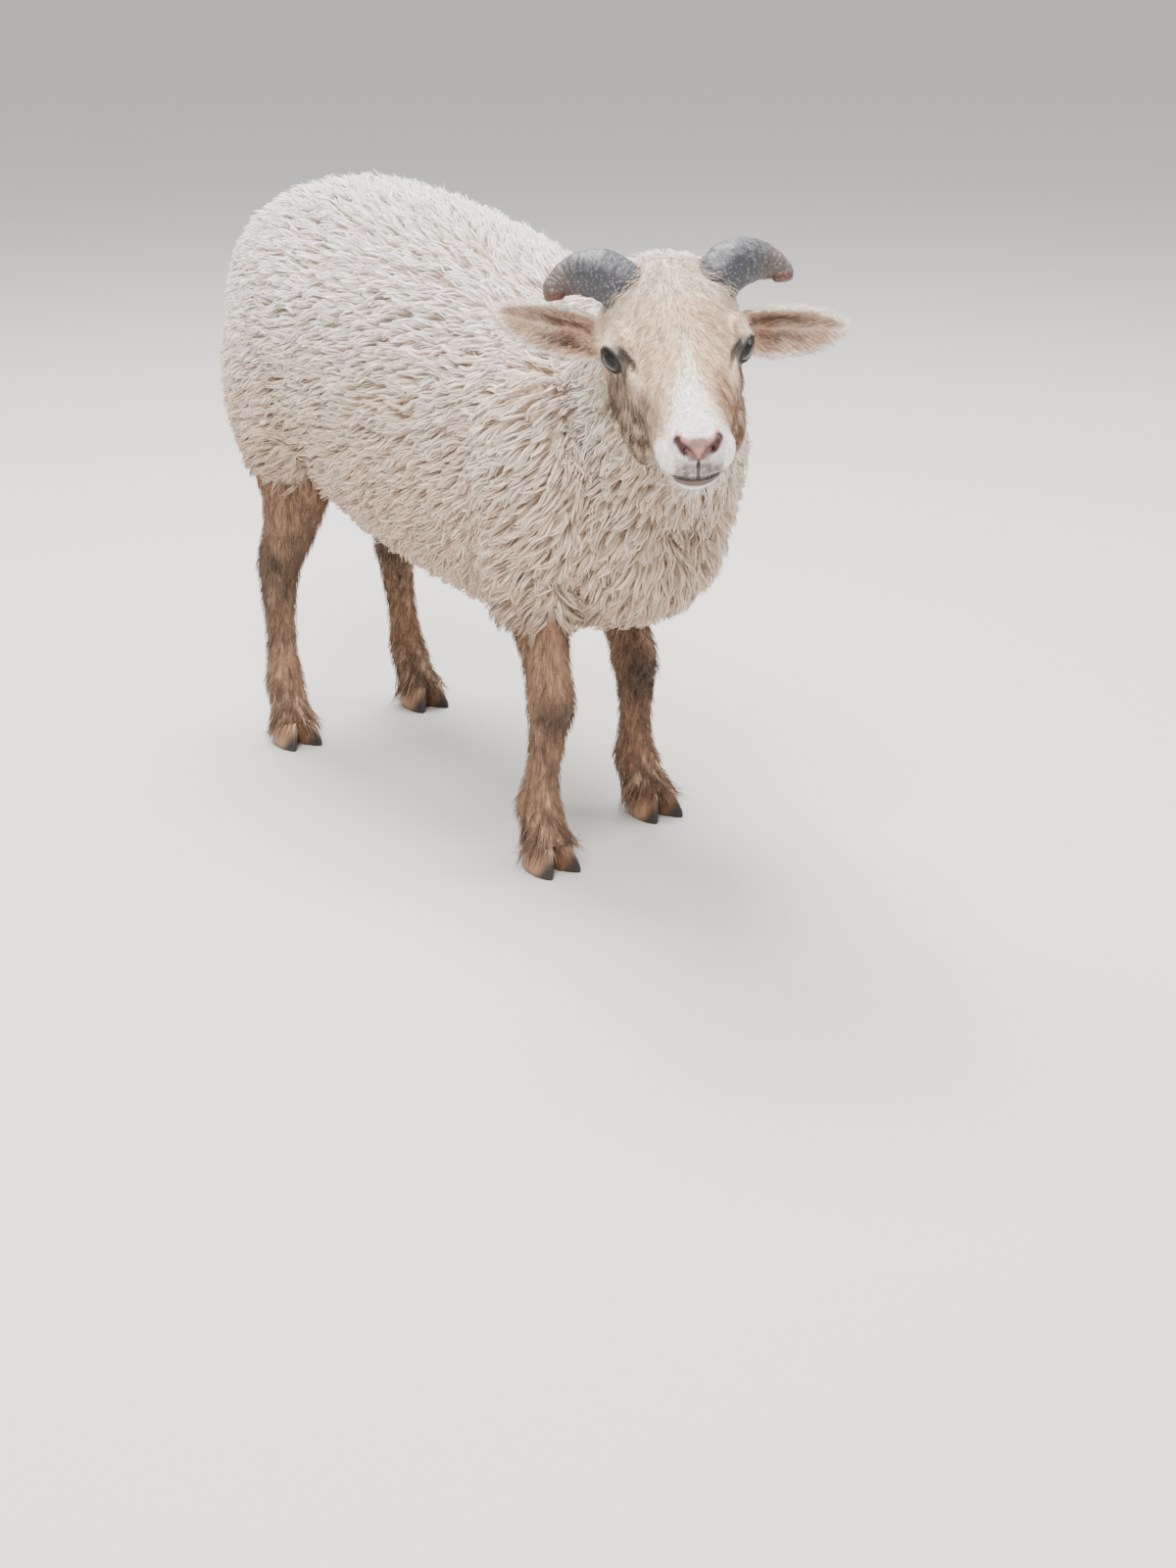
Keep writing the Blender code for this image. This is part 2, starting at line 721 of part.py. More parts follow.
def ear(side, grow=0.0):
    """A leaf-shaped cup on a short stub, or with grow the room that it takes."""
    root, along, across, opens = ear_frame(side)
    steps, strips = 7, 5
    bm = bmesh.new()
    rows = []
    for k in range(steps + 1):
        share = k / steps
        half = EAR_HALF_WIDTH * math.sin(math.pi * (0.20 + 0.80 * min(share, 0.985))) ** 0.80 + grow
        depth = EAR_CUP * (1 - share) ** 0.6 * (0.5 + 0.5 * min(1.0, share * 4))
        reach = 0.004 + EAR_LENGTH * share + 2 * grow * (2 * share - 1)
        row = []
        for j in range(strips + 1):
            spot = 2 * j / strips - 1
            rim = spot * half
            rise = depth * (spot**2 - 0.6)
            bend = -0.010 * share**2
            row.append(bm.verts.new(root + along * reach + across * rim + opens * (rise + bend)))
        rows.append(row)
    for row, following in zip(rows, rows[1:]):
        for a, b, c, d in zip(row, row[1:], following[1:], following):
            bm.faces.new((a, b, c))
            bm.faces.new((a, c, d))
    leaf = object_from(bm, f"ear_{side_name(side)}")
    shell = leaf.modifiers.new("thickness", "SOLIDIFY")
    shell.thickness = EAR_THICKNESS + 2 * grow
    shell.offset = 0
    apply_modifiers(leaf)
    boolean(leaf, [ear_stub(side, grow)], "UNION")
    return keep_largest(leaf)


def ear_stub(side, grow=0.0):
    root, along, across, opens = ear_frame(side)
    turn = Matrix((across, along, opens)).transposed()
    half = [size + grow for size in EAR_STUB]
    return ellipsoid("stub", root + along * 0.003, half, turn, segments=10)


def eye_centre(side):
    return on_head(side * EYE[0], EYE[1], EYE[2])


def eye(side, grow=0.0):
    name = f"eye_{side_name(side)}"
    radius = EYE_RADIUS + grow
    return ellipsoid(name, eye_centre(side), (radius,) * 3, segments=14)


def lid_ring(side):
    """Both lids as one almond rim round the eye, longer towards the nose."""
    centre = eye_centre(side)
    out = head_way(side * EYE_LOOKS[0], *EYE_LOOKS[1:])
    ahead = head_way(0, 1, -0.22)
    ahead = (ahead - out * ahead.dot(out)).normalized()
    up = out.cross(ahead) * (1 if out.cross(ahead).dot(head_way(0, 0, 1)) > 0 else -1)
    loop = []
    for k in range(LID_POINTS):
        angle = math.tau * k / LID_POINTS
        c, s = math.cos(angle), math.sin(angle)
        along = LID_HALF_LENGTH * c + LID_CORNER * max(0.0, c) ** 3
        high = LID_HALF_HEIGHT * s * (1 - 0.35 * abs(c) ** 3)
        reach = math.sqrt(max(EYE_RADIUS**2 - min(along, LID_HALF_LENGTH) ** 2 - high**2, 0.0))
        loop.append(centre + out * reach + ahead * along + up * high)
    bm = bmesh.new()
    rings = []
    for k in range(LID_POINTS):
        way = (loop[(k + 1) % LID_POINTS] - loop[k - 1]).normalized()
        side_way = (loop[k] - centre).normalized()
        side_way = (side_way - way * side_way.dot(way)).normalized()
        other = way.cross(side_way)
        ring = []
        for i in range(LID_SIDES):
            angle = math.tau * i / LID_SIDES
            ring.append(
                bm.verts.new(
                    loop[k] + (side_way * math.cos(angle) + other * math.sin(angle)) * LID_WIRE
                )
            )
        rings.append(ring)
    for k in range(LID_POINTS):
        row, following = rings[k], rings[(k + 1) % LID_POINTS]
        for i in range(LID_SIDES):
            j = (i + 1) % LID_SIDES
            bm.faces.new((row[i], row[j], following[j], following[i]))
    return object_from(bm, "lids")


def wire(name, path, radii, sides=5):
    return sweep(name, path, [(r, r) for r in radii], sides, head_way(0.2, 0.1, 1))


def mouth_cutters():
    """The mouth's line round the muzzle, the cleft of the upper lip, and the two nostrils."""
    line, grooves = [], []
    for k in range(MOUTH_POINTS):
        angle = MOUTH_SWING * (2 * k / (MOUTH_POINTS - 1) - 1)
        side = MOUTH_HALF_WIDTH * math.sin(angle)
        ahead = MOUTH_START + MOUTH_REACH * math.cos(angle)
        line.append(on_head(side, ahead, MOUTH_UP - MOUTH_BOW * math.cos(3 * angle)))
        grooves.append(MOUTH_GROOVE if 0 < k < MOUTH_POINTS - 1 else 0.7 * MOUTH_GROOVE)
    made = [wire("mouth", line, grooves)]
    made.append(wire("cleft", [on_head(0, *place) for place in CLEFT], [CLEFT_GROOVE] * len(CLEFT)))
    for side in (1, -1):
        path = [on_head(side * left, ahead, up) for left, ahead, up, half in NOSTRIL]
        made.append(wire("nostril", path, [half for left, ahead, up, half in NOSTRIL]))
    return made


def head_masses():
    """The head's form before its lids, mouth and nostrils."""
    masses = [loft("skull", outline_rings(HEAD, on_head, 30, 28, 0.0, 0.88))]
    for mass in (BROW, CHEEK, JAW, UPPER_LIP, NOSTRIL_WING, CHIN, POLL, TEMPLE):
        masses += both_sides("mass", mass, on_head)
    return melt("head", masses, *HEAD_MELT)


def finish_head(form):
    """Adds the lids, lips and nostrils, and the sockets of eyes, horns and ears."""
    boolean(form, [lid_ring(1), lid_ring(-1)], "UNION")
    boolean(form, mouth_cutters(), "DIFFERENCE")
    boolean(form, [made(side, GAP) for side in (1, -1) for made in (eye, horn, ear)], "DIFFERENCE")
    return keep_largest(form)


def tail_core(grow=0.0):
    """The tail without its wool, or with grow the room that it takes."""
    path, sizes = [], []
    steps = 8
    for k in range(steps + 1):
        left, ahead, up, wide, deep = smooth_between(TAIL, k / steps)
        path.append(on_body(left, ahead, up))
        sizes.append((wide, deep))
    return sweep("tail", path, sizes, 8, Vector((1, 0, 0)), grow)


def tail():
    """The woolly tail, with clumps on the face that looks away from the body."""
    draw = random.Random(SEED)
    obj = tail_core()

    def outer_face(place, normal):
        return normal.y > 0.3 and TAIL_WOOL[0] < place.z < TAIL_WOOL[1]

    down = Vector((0, 0, -1))
    clumps = []
    for place, normal in spread_roots(obj, TAIL_SPACING, draw, outer_face):
        lie = (down - normal * down.dot(normal)).normalized()
        clumps.append(clump(place, normal, lie, draw, TAIL_CLUMP))
    return keep_largest(boolean(obj, clumps, "UNION"))


def finish_node(obj, kind):
    for holder in list(obj.users_collection):
        holder.objects.unlink(obj)
    SHEEP.objects.link(obj)
    obj.data.transform(Matrix.Translation((-CENTRE_LEFT, CENTRE_AHEAD, 0)))
    obj.data.materials.clear()
    obj.data.materials.append(material(kind))
    obj.data.shade_smooth()
    obj.data.set_sharp_from_angle(angle=math.radians(50))


clear_scene()
SHEEP = new_collection("ouessant_sheep")
WORK = new_collection("work")


def main():
    face = head_masses()
    whole = fleeced_trunk(face)
    room = [swollen(face, "room", GAP)]
    room += [made(side, GAP) for side in (1, -1) for made in (ear, horn)]
    boolean(whole, room, "DIFFERENCE")
    keep_largest(whole)

    point, way = neck_base_plane()
    neck = copy_of(whole, "neck")
    cut_beyond(neck, point, -way)
    keep_largest(neck)
    torso = whole
    torso.name = "torso"
    cut_beyond(torso, point, way)
    boolean(torso, [leg(row, GAP) for row in LEGS] + [tail_core(GAP)], "DIFFERENCE")
    keep_largest(torso)

    nodes = [(torso, "fleece"), (neck, "fleece"), (tail(), "fleece")]
    nodes.append((finish_head(face), "face"))
    for row in LEGS:
        nodes.append((leg(row), "leg"))
        nodes += [(claw(row, side), "hoof") for side in (1, -1)]
    for side in (1, -1):
        nodes += [(ear(side), "face"), (horn(side), "horn"), (eye(side), "eye")]
    for obj, kind in nodes:
        finish_node(obj, kind)


main()
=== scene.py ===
"""The look of a young Ouessant ram: skin, fleece, short hair, horns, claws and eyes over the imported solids.

Metres, +Z up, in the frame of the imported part: the sheep faces -Y and +X is its left side. Places on the
body are given as (left, ahead, up) from the point midway between the forefeet, and places on the head
as (left, ahead, up) from the point midway between the eyes.
"""

import math

import bmesh
import bpy
import numpy as np
from mathutils import Matrix, Vector
from mathutils.bvhtree import BVHTree
from mathutils.kdtree import KDTree


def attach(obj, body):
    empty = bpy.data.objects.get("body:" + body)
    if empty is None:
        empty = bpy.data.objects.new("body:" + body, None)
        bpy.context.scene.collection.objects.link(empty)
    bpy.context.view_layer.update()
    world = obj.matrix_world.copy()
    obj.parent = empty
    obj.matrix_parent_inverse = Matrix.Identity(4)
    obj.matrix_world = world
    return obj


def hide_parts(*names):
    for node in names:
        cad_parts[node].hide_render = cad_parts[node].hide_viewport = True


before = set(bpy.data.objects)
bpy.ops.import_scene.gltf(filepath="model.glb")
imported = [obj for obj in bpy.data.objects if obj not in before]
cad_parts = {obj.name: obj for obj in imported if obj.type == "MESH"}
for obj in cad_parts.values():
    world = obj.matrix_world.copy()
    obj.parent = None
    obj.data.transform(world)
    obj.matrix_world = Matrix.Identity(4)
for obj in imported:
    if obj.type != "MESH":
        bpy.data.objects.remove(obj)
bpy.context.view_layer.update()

SEED = 11
RNG = np.random.default_rng(SEED)
CENTRE_LEFT = -0.0128
CENTRE_AHEAD = -0.1126

# The fleece's outline: (ahead, top, bottom, half width), breast to rump
TORSO = [
    (0.110, 0.318, 0.256, 0.022),
    (0.097, 0.372, 0.224, 0.054),
    (0.064, 0.424, 0.197, 0.080),
    (0.015, 0.452, 0.183, 0.096),
    (-0.065, 0.470, 0.172, 0.107),
    (-0.150, 0.491, 0.178, 0.114),
    (-0.230, 0.505, 0.192, 0.117),
    (-0.300, 0.512, 0.209, 0.115),
    (-0.370, 0.511, 0.236, 0.110),
    (-0.430, 0.500, 0.272, 0.099),
    (-0.466, 0.470, 0.312, 0.074),
    (-0.484, 0.400, 0.350, 0.028),
]
# The neck's outline along its bend to the right: (left, ahead, up, half width, half height)
NECK = [
    (0.000, -0.010, 0.350, 0.078, 0.105),
    (-0.005, 0.050, 0.368, 0.073, 0.104),
    (-0.018, 0.092, 0.386, 0.068, 0.093),
    (-0.035, 0.122, 0.408, 0.062, 0.080),
    (-0.052, 0.148, 0.428, 0.056, 0.066),
]
# Rounded masses under the fleece: (left, ahead, up, half sizes left, ahead and up), both sides alike
SHOULDER = (0.064, 0.010, 0.315, 0.043, 0.060, 0.092)
THIGH = (0.062, -0.378, 0.335, 0.046, 0.084, 0.100)
STIFLE = (0.070, -0.362, 0.262, 0.034, 0.052, 0.062)
BREAST = (0.018, 0.066, 0.345, 0.045, 0.062, 0.080)
# How far the skin lies inside that outline, and inside the outlines of the tail, the head and the legs
WOOL_DEPTH = 0.018
TAIL_WOOL_DEPTH = 0.003
HAIR_DEPTH = 0.0010
# How far the neck reaches on into the head, and a leg into its claws
NECK_INTO_HEAD = 0.03
LEG_INTO_CLAWS = 0.012

# The head's outline: (ahead, top, bottom, half width)
HEAD = [
    (-0.082, 0.012, -0.020, 0.022),
    (-0.072, 0.028, -0.046, 0.040),
    (-0.052, 0.039, -0.058, 0.047),
    (-0.028, 0.042, -0.060, 0.049),
    (-0.004, 0.038, -0.056, 0.046),
    (0.018, 0.031, -0.050, 0.044),
    (0.040, 0.025, -0.046, 0.0375),
    (0.062, 0.022, -0.043, 0.0310),
    (0.082, 0.019, -0.041, 0.025),
    (0.096, 0.014, -0.036, 0.022),
    (0.104, 0.006, -0.026, 0.014),
]
# Rounded masses of the head, both sides alike: (left, ahead, up, half sizes left, ahead and up)
BROW = (0.037, -0.002, 0.007, 0.016, 0.024, 0.018)
CHEEK = (0.029, -0.022, -0.028, 0.019, 0.036, 0.031)
JAW = (0.0245, 0.024, -0.034, 0.0195, 0.042, 0.027)
UPPER_LIP = (0.013, 0.088, -0.010, 0.015, 0.019, 0.016)
NOSTRIL_WING = (0.0105, 0.096, 0.004, 0.0095, 0.012, 0.010)
CHIN = (0.0, 0.084, -0.032, 0.018, 0.019, 0.010)
POLL = (0.0, -0.040, 0.027, 0.032, 0.026, 0.015)
TEMPLE = (0.026, -0.040, 0.021, 0.018, 0.024, 0.018)

# How the head is held: turned to the right, nose down, left side up
EYES_MIDDLE = (-0.078, 0.190, 0.436)
HEAD_TURN = math.radians(-29.5)
HEAD_NOD = math.radians(29.5)
HEAD_ROLL = math.radians(-4.5)

EYE = (0.0385, 0.000, 0.003)
EYE_RADIUS = 0.0135
EYE_LOOKS = (0.75, 0.65, 0.12)
CORNEA_RADIUS = 0.0085
CORNEA_RISE = 0.0010
# The opening of the lids: its size, how its halves are drawn out, how it slants, and the way it runs
LID_HALF_LENGTH = 0.0094
LID_HALF_HEIGHT = 0.0078
LID_AHEAD = 1.12
LID_BEHIND = 0.92
LID_SLANT = 0.10
LIDS_RUN = (0, 1, -0.12)
# The lids over the eyeball: their rise, what the upper one rises more, and how far the skin draws back within
LID_RISE = 0.0013
UPPER_LID_RISE = 0.0006
LID_DRAWN_BACK = 0.003
LID_CLEAR = 0.0005
# The dark band that runs from the eye's corner along the nose, alike on both sides: (side, ahead, up)
TEAR_BAND = [
    (0.0450, 0.012, 0.0130),
    (0.0412, 0.018, 0.0148),
    (0.0365, 0.022, 0.0142),
    (0.0335, 0.031, 0.0132),
    (0.0317, 0.041, 0.0107),
]
# A nostril's slit: (side, ahead, up)
NOSTRIL = [
    (0.0040, 0.1062, -0.0030),
    (0.0066, 0.1062, 0.0014),
    (0.0100, 0.1045, 0.0058),
    (0.0134, 0.0995, 0.0088),
]
# The grooves pressed into the face: (half width, depth)
NOSTRIL_GROOVE = (0.0018, 0.0065)
TEAR_GROOVE = (0.0035, 0.0018)
MOUTH_GROOVE = (0.0013, 0.0030)
CLEFT_GROOVE = (0.0011, 0.0026)

# Horn paths and thickness on the left side of the head: (left, ahead, up, half thickness)
HORN = [
    (0.022, -0.034, 0.017, 0.0155),
    (0.034, -0.044, 0.0265, 0.0168),
    (0.046, -0.051, 0.0315, 0.0165),
    (0.058, -0.055, 0.0305, 0.0150),
    (0.068, -0.056, 0.0275, 0.0122),
    (0.0755, -0.053, 0.0250, 0.0096),
    (0.0795, -0.049, 0.0220, 0.0077),
    (0.0800, -0.044, 0.0185, 0.0062),
]
# The growth rings' half height, and the share of the horn's length where its end starts to round off
HORN_RING = 0.00035
HORN_END = 0.94

# The left ear's root, where the left and the right ear point, where the left one opens, and their size
EAR_ROOT = (0.044, -0.036, -0.013)
EAR_DIRECTIONS = {1: (0.974, -0.08, -0.21), -1: (-0.906, -0.423, -0.02)}
EAR_OPENS = (0.10, 0.88, 0.25)
EAR_LENGTH = 0.086
EAR_HALF_WIDTH = 0.0190
EAR_CUP = 0.011
EAR_SKIN = 0.0040
EAR_STUB = (0.011, 0.013, 0.011)
# The lengthwise folds inside an ear: how high they rise, and how closely they follow each other
EAR_CREASE = 0.0011
EAR_CREASE_SPACING = 0.0030

# Leg paths: (ahead of the foot, up, half width across, half width along)
FORELEG = [
    (-0.024, 0.262, 0.029, 0.036),
    (-0.014, 0.215, 0.0235, 0.029),
    (-0.003, 0.172, 0.0180, 0.0200),
    (0.003, 0.150, 0.0185, 0.0198),
    (0.004, 0.136, 0.0182, 0.0200),
    (0.001, 0.116, 0.0150, 0.0160),
    (-0.004, 0.088, 0.0130, 0.0142),
    (-0.009, 0.066, 0.0140, 0.0158),
    (-0.011, 0.050, 0.0178, 0.0195),
    (-0.004, 0.034, 0.0172, 0.0178),
    (0.002, 0.019, 0.0185, 0.0190),
]
HINDLEG = [
    (0.014, 0.292, 0.033, 0.050),
    (0.012, 0.240, 0.0270, 0.0375),
    (0.000, 0.203, 0.0210, 0.0285),
    (-0.015, 0.176, 0.0180, 0.0240),
    (-0.021, 0.158, 0.0172, 0.0228),
    (-0.021, 0.136, 0.0148, 0.0178),
    (-0.019, 0.104, 0.0130, 0.0148),
    (-0.017, 0.076, 0.0138, 0.0158),
    (-0.014, 0.054, 0.0172, 0.0190),
    (-0.006, 0.035, 0.0166, 0.0176),
    (0.000, 0.020, 0.0182, 0.0188),
]
# Each leg: (name, foot left, foot ahead, top left, lean ahead of the top)
LEGS = [
    ("foreleg_right", -0.072, 0.024, -0.068, 0.000),
    ("foreleg_left", 0.072, -0.024, 0.042, -0.014),
    ("hindleg_right", -0.078, -0.368, -0.071, 0.000),
    ("hindleg_left", 0.078, -0.392, 0.052, 0.006),
]
LEG_STEPS = 40
KNEE_UP = 0.132
HOCK_UP = 0.165
# The claws: the slanted edge where the skin ends, and their shape
CORONET_TILT = math.radians(-17)
CORONET_UP = 0.019
CLAW_GAP = 0.0003
CLAW_HALF_LENGTH = 0.0195
CLAW_HALF_WIDTH = 0.0092
CLAW_SPLIT = 0.0016
CLAW_AHEAD = 0.007
CLAW_TOE_OUT = 0.0055
# From the floor to the coronet: (share of the height, size)
CLAW_LEVELS = [
    (0.0, 0.95),
    (0.03, 0.99),
    (0.10, 1.02),
    (0.22, 1.03),
    (0.45, 0.99),
    (0.7, 0.94),
    (0.93, 0.885),
    (1.0, 0.84),
]
# A dewclaw from its foot: (side, ahead, up, half sizes left, ahead and up)
DEWCLAW = (0.0085, -0.0185, 0.047, 0.0050, 0.0060, 0.0075)
# The heights where the fleece ends on the legs
WOOL_ENDS_FORE = 0.212
WOOL_ENDS_HIND = 0.262

# The tail: (left, ahead, up, half width, half depth)
TAIL = [
    (0.000, -0.455, 0.440, 0.014, 0.012),
    (0.000, -0.474, 0.422, 0.016, 0.013),
    (0.001, -0.483, 0.392, 0.016, 0.013),
    (0.002, -0.484, 0.360, 0.014, 0.011),
    (0.003, -0.480, 0.334, 0.010, 0.009),
    (0.003, -0.476, 0.318, 0.005, 0.005),
]

SIDEWAYS = Vector((1, 0, 0))
FAR_AWAY = 9.0
# The skin: the size of its voxels, its most triangles, and their share before the face is refined
SKIN_VOXEL = 0.0021
SKIN_LIMIT = 195000
COARSE_SHARE = 0.72
# Rounds of smoothing, all over and under the fleece
SKIN_ROUNDS = 4
HIDDEN_ROUNDS = 110

# The fleece: the tufts' spacing and length, the widest gap left bare, and how far strands root round a tuft
TUFT_SPACING = 0.0068
TUFT_LENGTH = 0.0190
TUFT_GAP = 0.0033
TUFT_REACH = 0.62 * TUFT_SPACING
# Places tried for each tuft's square, and the share of strands that stray
TUFT_TRIES = 3.4
STRAY_SHARE = 0.06
# Cross-sections of a thin strand and of a ribbed lock: across, outward and paleness of each corner. The
# ribbed lock's paleness is painted light on the corners that stand out and painted shade on its sides
STRAND_SECTION = ((0.0, 1.0, 1.0), (-0.87, -0.5, 1.0), (0.87, -0.5, 1.0))
LOCK_SECTION = ((1.00, -0.25, 0.97), (0.35, 0.80, 1.03), (-0.40, 0.62, 0.98), (-1.00, -0.30, 0.95))
# Along a tuft, root to tip: shares of its length, and of its rise over the skin
LOCK_ROWS = (0.0, 0.30, 0.58, 0.82, 1.0)
LOCK_RISE = (-0.10, 0.48, 0.82, 1.0, 0.97)
# The strands of a tuft: its broad locks, and the fine wisps that leave it
LOCKS = {
    "each": 3,
    "rows": LOCK_ROWS,
    "widths": (0.80, 1.0, 0.92, 0.62, 0.0),
    "shades": (0.0, 0.35, 0.72, 0.97, 1.0),
    "reach": TUFT_REACH,
    "draw_in": 0.50,
    "half_wide": (0.0009, 0.0016),
    "lift": 0.0,
    "flat": 0.50,
}
WISPS = {
    "each": 3,
    "rows": (0.10, 0.45, 0.75, 0.95, 1.12),
    "widths": (0.8, 1.0, 0.9, 0.6, 0.0),
    "shades": (0.35, 0.65, 0.95, 1.0, 1.0),
    "reach": 1.2 * TUFT_REACH,
    "draw_in": 0.30,
    "half_wide": (0.00028, 0.0006),
    "lift": 0.0008,
    "flat": 0.8,
}
# The short hair: hairs to the square metre, lengths, how far they stand off, and half width
FACE_HAIR = {"density": 340000, "lengths": (0.0045, 0.0080), "stand": 0.20, "width": 0.00026}
LEG_HAIR = {"density": 150000, "lengths": (0.008, 0.014), "stand": 0.24, "width": 0.00036}
HAIR_LOWEST = 0.0010
# The heights between which the fringe over the claws gives way to the leg's own hair
CLAW_HEM = (0.026, 0.044)

# The map of the skin: each part's tile as (x, y, width, height), and the size of one strand's patch on it
TILES = {
    "trunk": (0.01, 0.01, 0.46, 0.98),
    "head": (0.49, 0.01, 0.26, 0.60),
    "ears": (0.49, 0.63, 0.26, 0.36),
    "leg": (0.77, 0.01, 0.22, 0.235),
}
UV_PATCH = 0.003
PIECE_LIMIT = 185000

# Colours as seen, 0 to 1
WOOL_TIP = (0.985, 0.955, 0.925)
WOOL_MID = (0.915, 0.82, 0.735)
WOOL_ROOT = (0.90, 0.81, 0.72)
WOOL_HEM_SHADE = (0.55, 0.42, 0.32)
WOOL_TAN = (0.83, 0.69, 0.575)
FACE = (0.82, 0.71, 0.60)
BLAZE = (0.96, 0.94, 0.91)
CHEEK_BROWN = (0.30, 0.225, 0.175)
CHEEK_RUST = (0.51, 0.345, 0.225)
DARK = (0.13, 0.10, 0.09)
LEG_TAN = (0.55, 0.42, 0.32)
LEG_DARK = (0.38, 0.29, 0.23)
LEG_BLACK = (0.19, 0.15, 0.125)
PASTERN = (0.72, 0.60, 0.49)
EAR_INSIDE = (0.77, 0.65, 0.57)
EAR_FOLD = (0.25, 0.17, 0.14)
EAR_ROOT_BROWN = (0.66, 0.47, 0.36)
EAR_RIM = (0.93, 0.89, 0.84)
EAR_BACK = (0.77, 0.66, 0.55)
NOSE_PINK = (0.80, 0.56, 0.52)
NOSE_GREY = (0.42, 0.36, 0.345)
LIP_BROWN = (0.34, 0.25, 0.23)
NOSTRIL_SHADE = (0.22, 0.10, 0.09)
LID_RIM = (0.10, 0.08, 0.08)
LASH = (0.62, 0.54, 0.46)
HORN_SLATE = (0.205, 0.21, 0.235)
HORN_BROWN = (0.33, 0.285, 0.26)
HORN_TIP = (0.36, 0.20, 0.14)
HORN_TOP_LIGHT = (0.62, 0.61, 0.60)
HORN_VALLEY = (0.16, 0.15, 0.15)
HORN_FLECK = (0.58, 0.57, 0.57)
CLAW_TAN = (0.62, 0.46, 0.34)
CLAW_PALE = (0.80, 0.64, 0.50)
CLAW_TOE = (0.10, 0.085, 0.08)
CLAW_SOLE = (0.22, 0.17, 0.14)
DEWCLAW_BROWN = (0.26, 0.20, 0.16)
IRIS_STOPS = ((0.30, (0.12, 0.105, 0.095)), (0.75, (0.25, 0.22, 0.19)))
EYE_PALE = (0.50, 0.475, 0.45)
EYE_SHADE = (0.07, 0.065, 0.07)
PUPIL = (0.015, 0.015, 0.02)
EYEBALL = (0.05, 0.042, 0.038)
FLOOR_COLOUR = (0.80, 0.79, 0.77)

# The markings' patches, fine mottling and specks: (size, seed)
MARKING_WAVES = ((0.060, 3), (0.018, 4), (0.006, 5))
# The pupil's half width and half height, as shares of the eyeball's width
PUPIL_HALF = (0.20, 0.105)
# How often the fibres' lines repeat across and along a strand's patch
FIBRE_LINES = (2400, 420, 1)
SOFT_WOOL = {
    "Sheen Weight": 0.25,
    "Subsurface Weight": 0.35,
    "Subsurface Scale": 0.003,
    "Subsurface Radius": (1.0, 1.0, 1.0),
}
WET_EYE = {"Specular IOR Level": 0.0, "Coat Weight": 0.8, "Coat Roughness": 0.02, "Coat IOR": 1.38}

# The studio. Each light: (name, place, what it aims at, size, power, colour)
FLOOR_SIZE = 160
WORLD_LIGHT = (0.93, 0.94, 0.96, 1)
WORLD_STRENGTH = 1.05
LIGHTS = [
    ("key", (-1.5, -1.6, 3.0), (0, 0, 0.3), 1.6, 175, (1.0, 0.97, 0.94)),
    ("fill", (2.4, -1.4, 1.6), (0, 0, 0.3), 2.0, 44, (0.98, 0.98, 1.0)),
    ("top", (0.2, 0.9, 2.8), (0, 0, 0.35), 1.5, 205, (1, 1, 1)),
]
# The camera: its place on the body's terms, and how it looks down and to the side
CAMERA_PLACE = (-1.0976, 1.4492, 0.71)
CAMERA_DOWN = math.radians(20)
CAMERA_TURN = math.atan2(0.599, 0.80)
CAMERA_LENS = 54


def on_body(left, ahead, up):
    return Vector((left - CENTRE_LEFT, CENTRE_AHEAD - ahead, up))


HEAD_PLACE = (
    Matrix.Translation(on_body(*EYES_MIDDLE))
    @ Matrix.Rotation(HEAD_TURN, 4, "Z")
    @ Matrix.Rotation(HEAD_NOD, 4, "X")
    @ Matrix.Rotation(HEAD_ROLL, 4, "Y")
)


def on_head(left, ahead, up):
    return HEAD_PLACE @ Vector((left, -ahead, up))


def head_way(left, ahead, up):
    """A direction given in the head's own terms, as a unit vector of the model."""
    return (HEAD_PLACE.to_3x3() @ Vector((left, -ahead, up))).normalized()


def linear(colour):
    """A colour as seen, turned into light."""
    return np.array([c / 12.92 if c <= 0.04045 else ((c + 0.055) / 1.055) ** 2.4 for c in colour])


def step(low, high, value):
    """0 below low and 1 above high, smooth between."""
    t = np.clip((value - low) / (high - low), 0.0, 1.0)
    return t * t * (3 - 2 * t)


def unit(vectors):
    return vectors / np.maximum(np.linalg.norm(vectors, axis=-1, keepdims=True), 1e-9)


def waves(points, size, seed, count=6):
    """Smooth random values about 0, from -1 to 1, that change over a distance of size."""
    draw = np.random.default_rng(seed)
    ways = unit(draw.normal(size=(count, 3))) * (math.tau / size) * draw.uniform(0.6, 1.4, (count, 1))
    return np.sin(points @ ways.T + draw.uniform(0, math.tau, count)).mean(axis=1) * 1.6


def activate(obj):
    bpy.ops.object.select_all(action="DESELECT")
    obj.select_set(True)
    bpy.context.view_layer.objects.active = obj


def apply_modifier(obj, kind, **settings):
    activate(obj)
    modifier = obj.modifiers.new(kind.lower(), kind)
    for key, value in settings.items():
        setattr(modifier, key, value)
    bpy.ops.object.modifier_apply(modifier=modifier.name)


def mesh_object(name, points, faces):
    mesh = bpy.data.meshes.new(name)
    mesh.from_pydata([tuple(point) for point in points], [], faces)
    obj = bpy.data.objects.new(name, mesh)
    bpy.context.scene.collection.objects.link(obj)
    return obj


def face_outward(obj):
    bm = bmesh.new()
    bm.from_mesh(obj.data)
    bmesh.ops.recalc_face_normals(bm, faces=bm.faces)
    bm.to_mesh(obj.data)
    bm.free()
    return obj


def points_of(obj):
    points = np.empty(len(obj.data.vertices) * 3)
    obj.data.vertices.foreach_get("co", points)
    return points.reshape(-1, 3)


def normals_of(obj):
    normals = np.empty(len(obj.data.vertices) * 3)
    obj.data.vertex_normals.foreach_get("vector", normals)
    return normals.reshape(-1, 3)


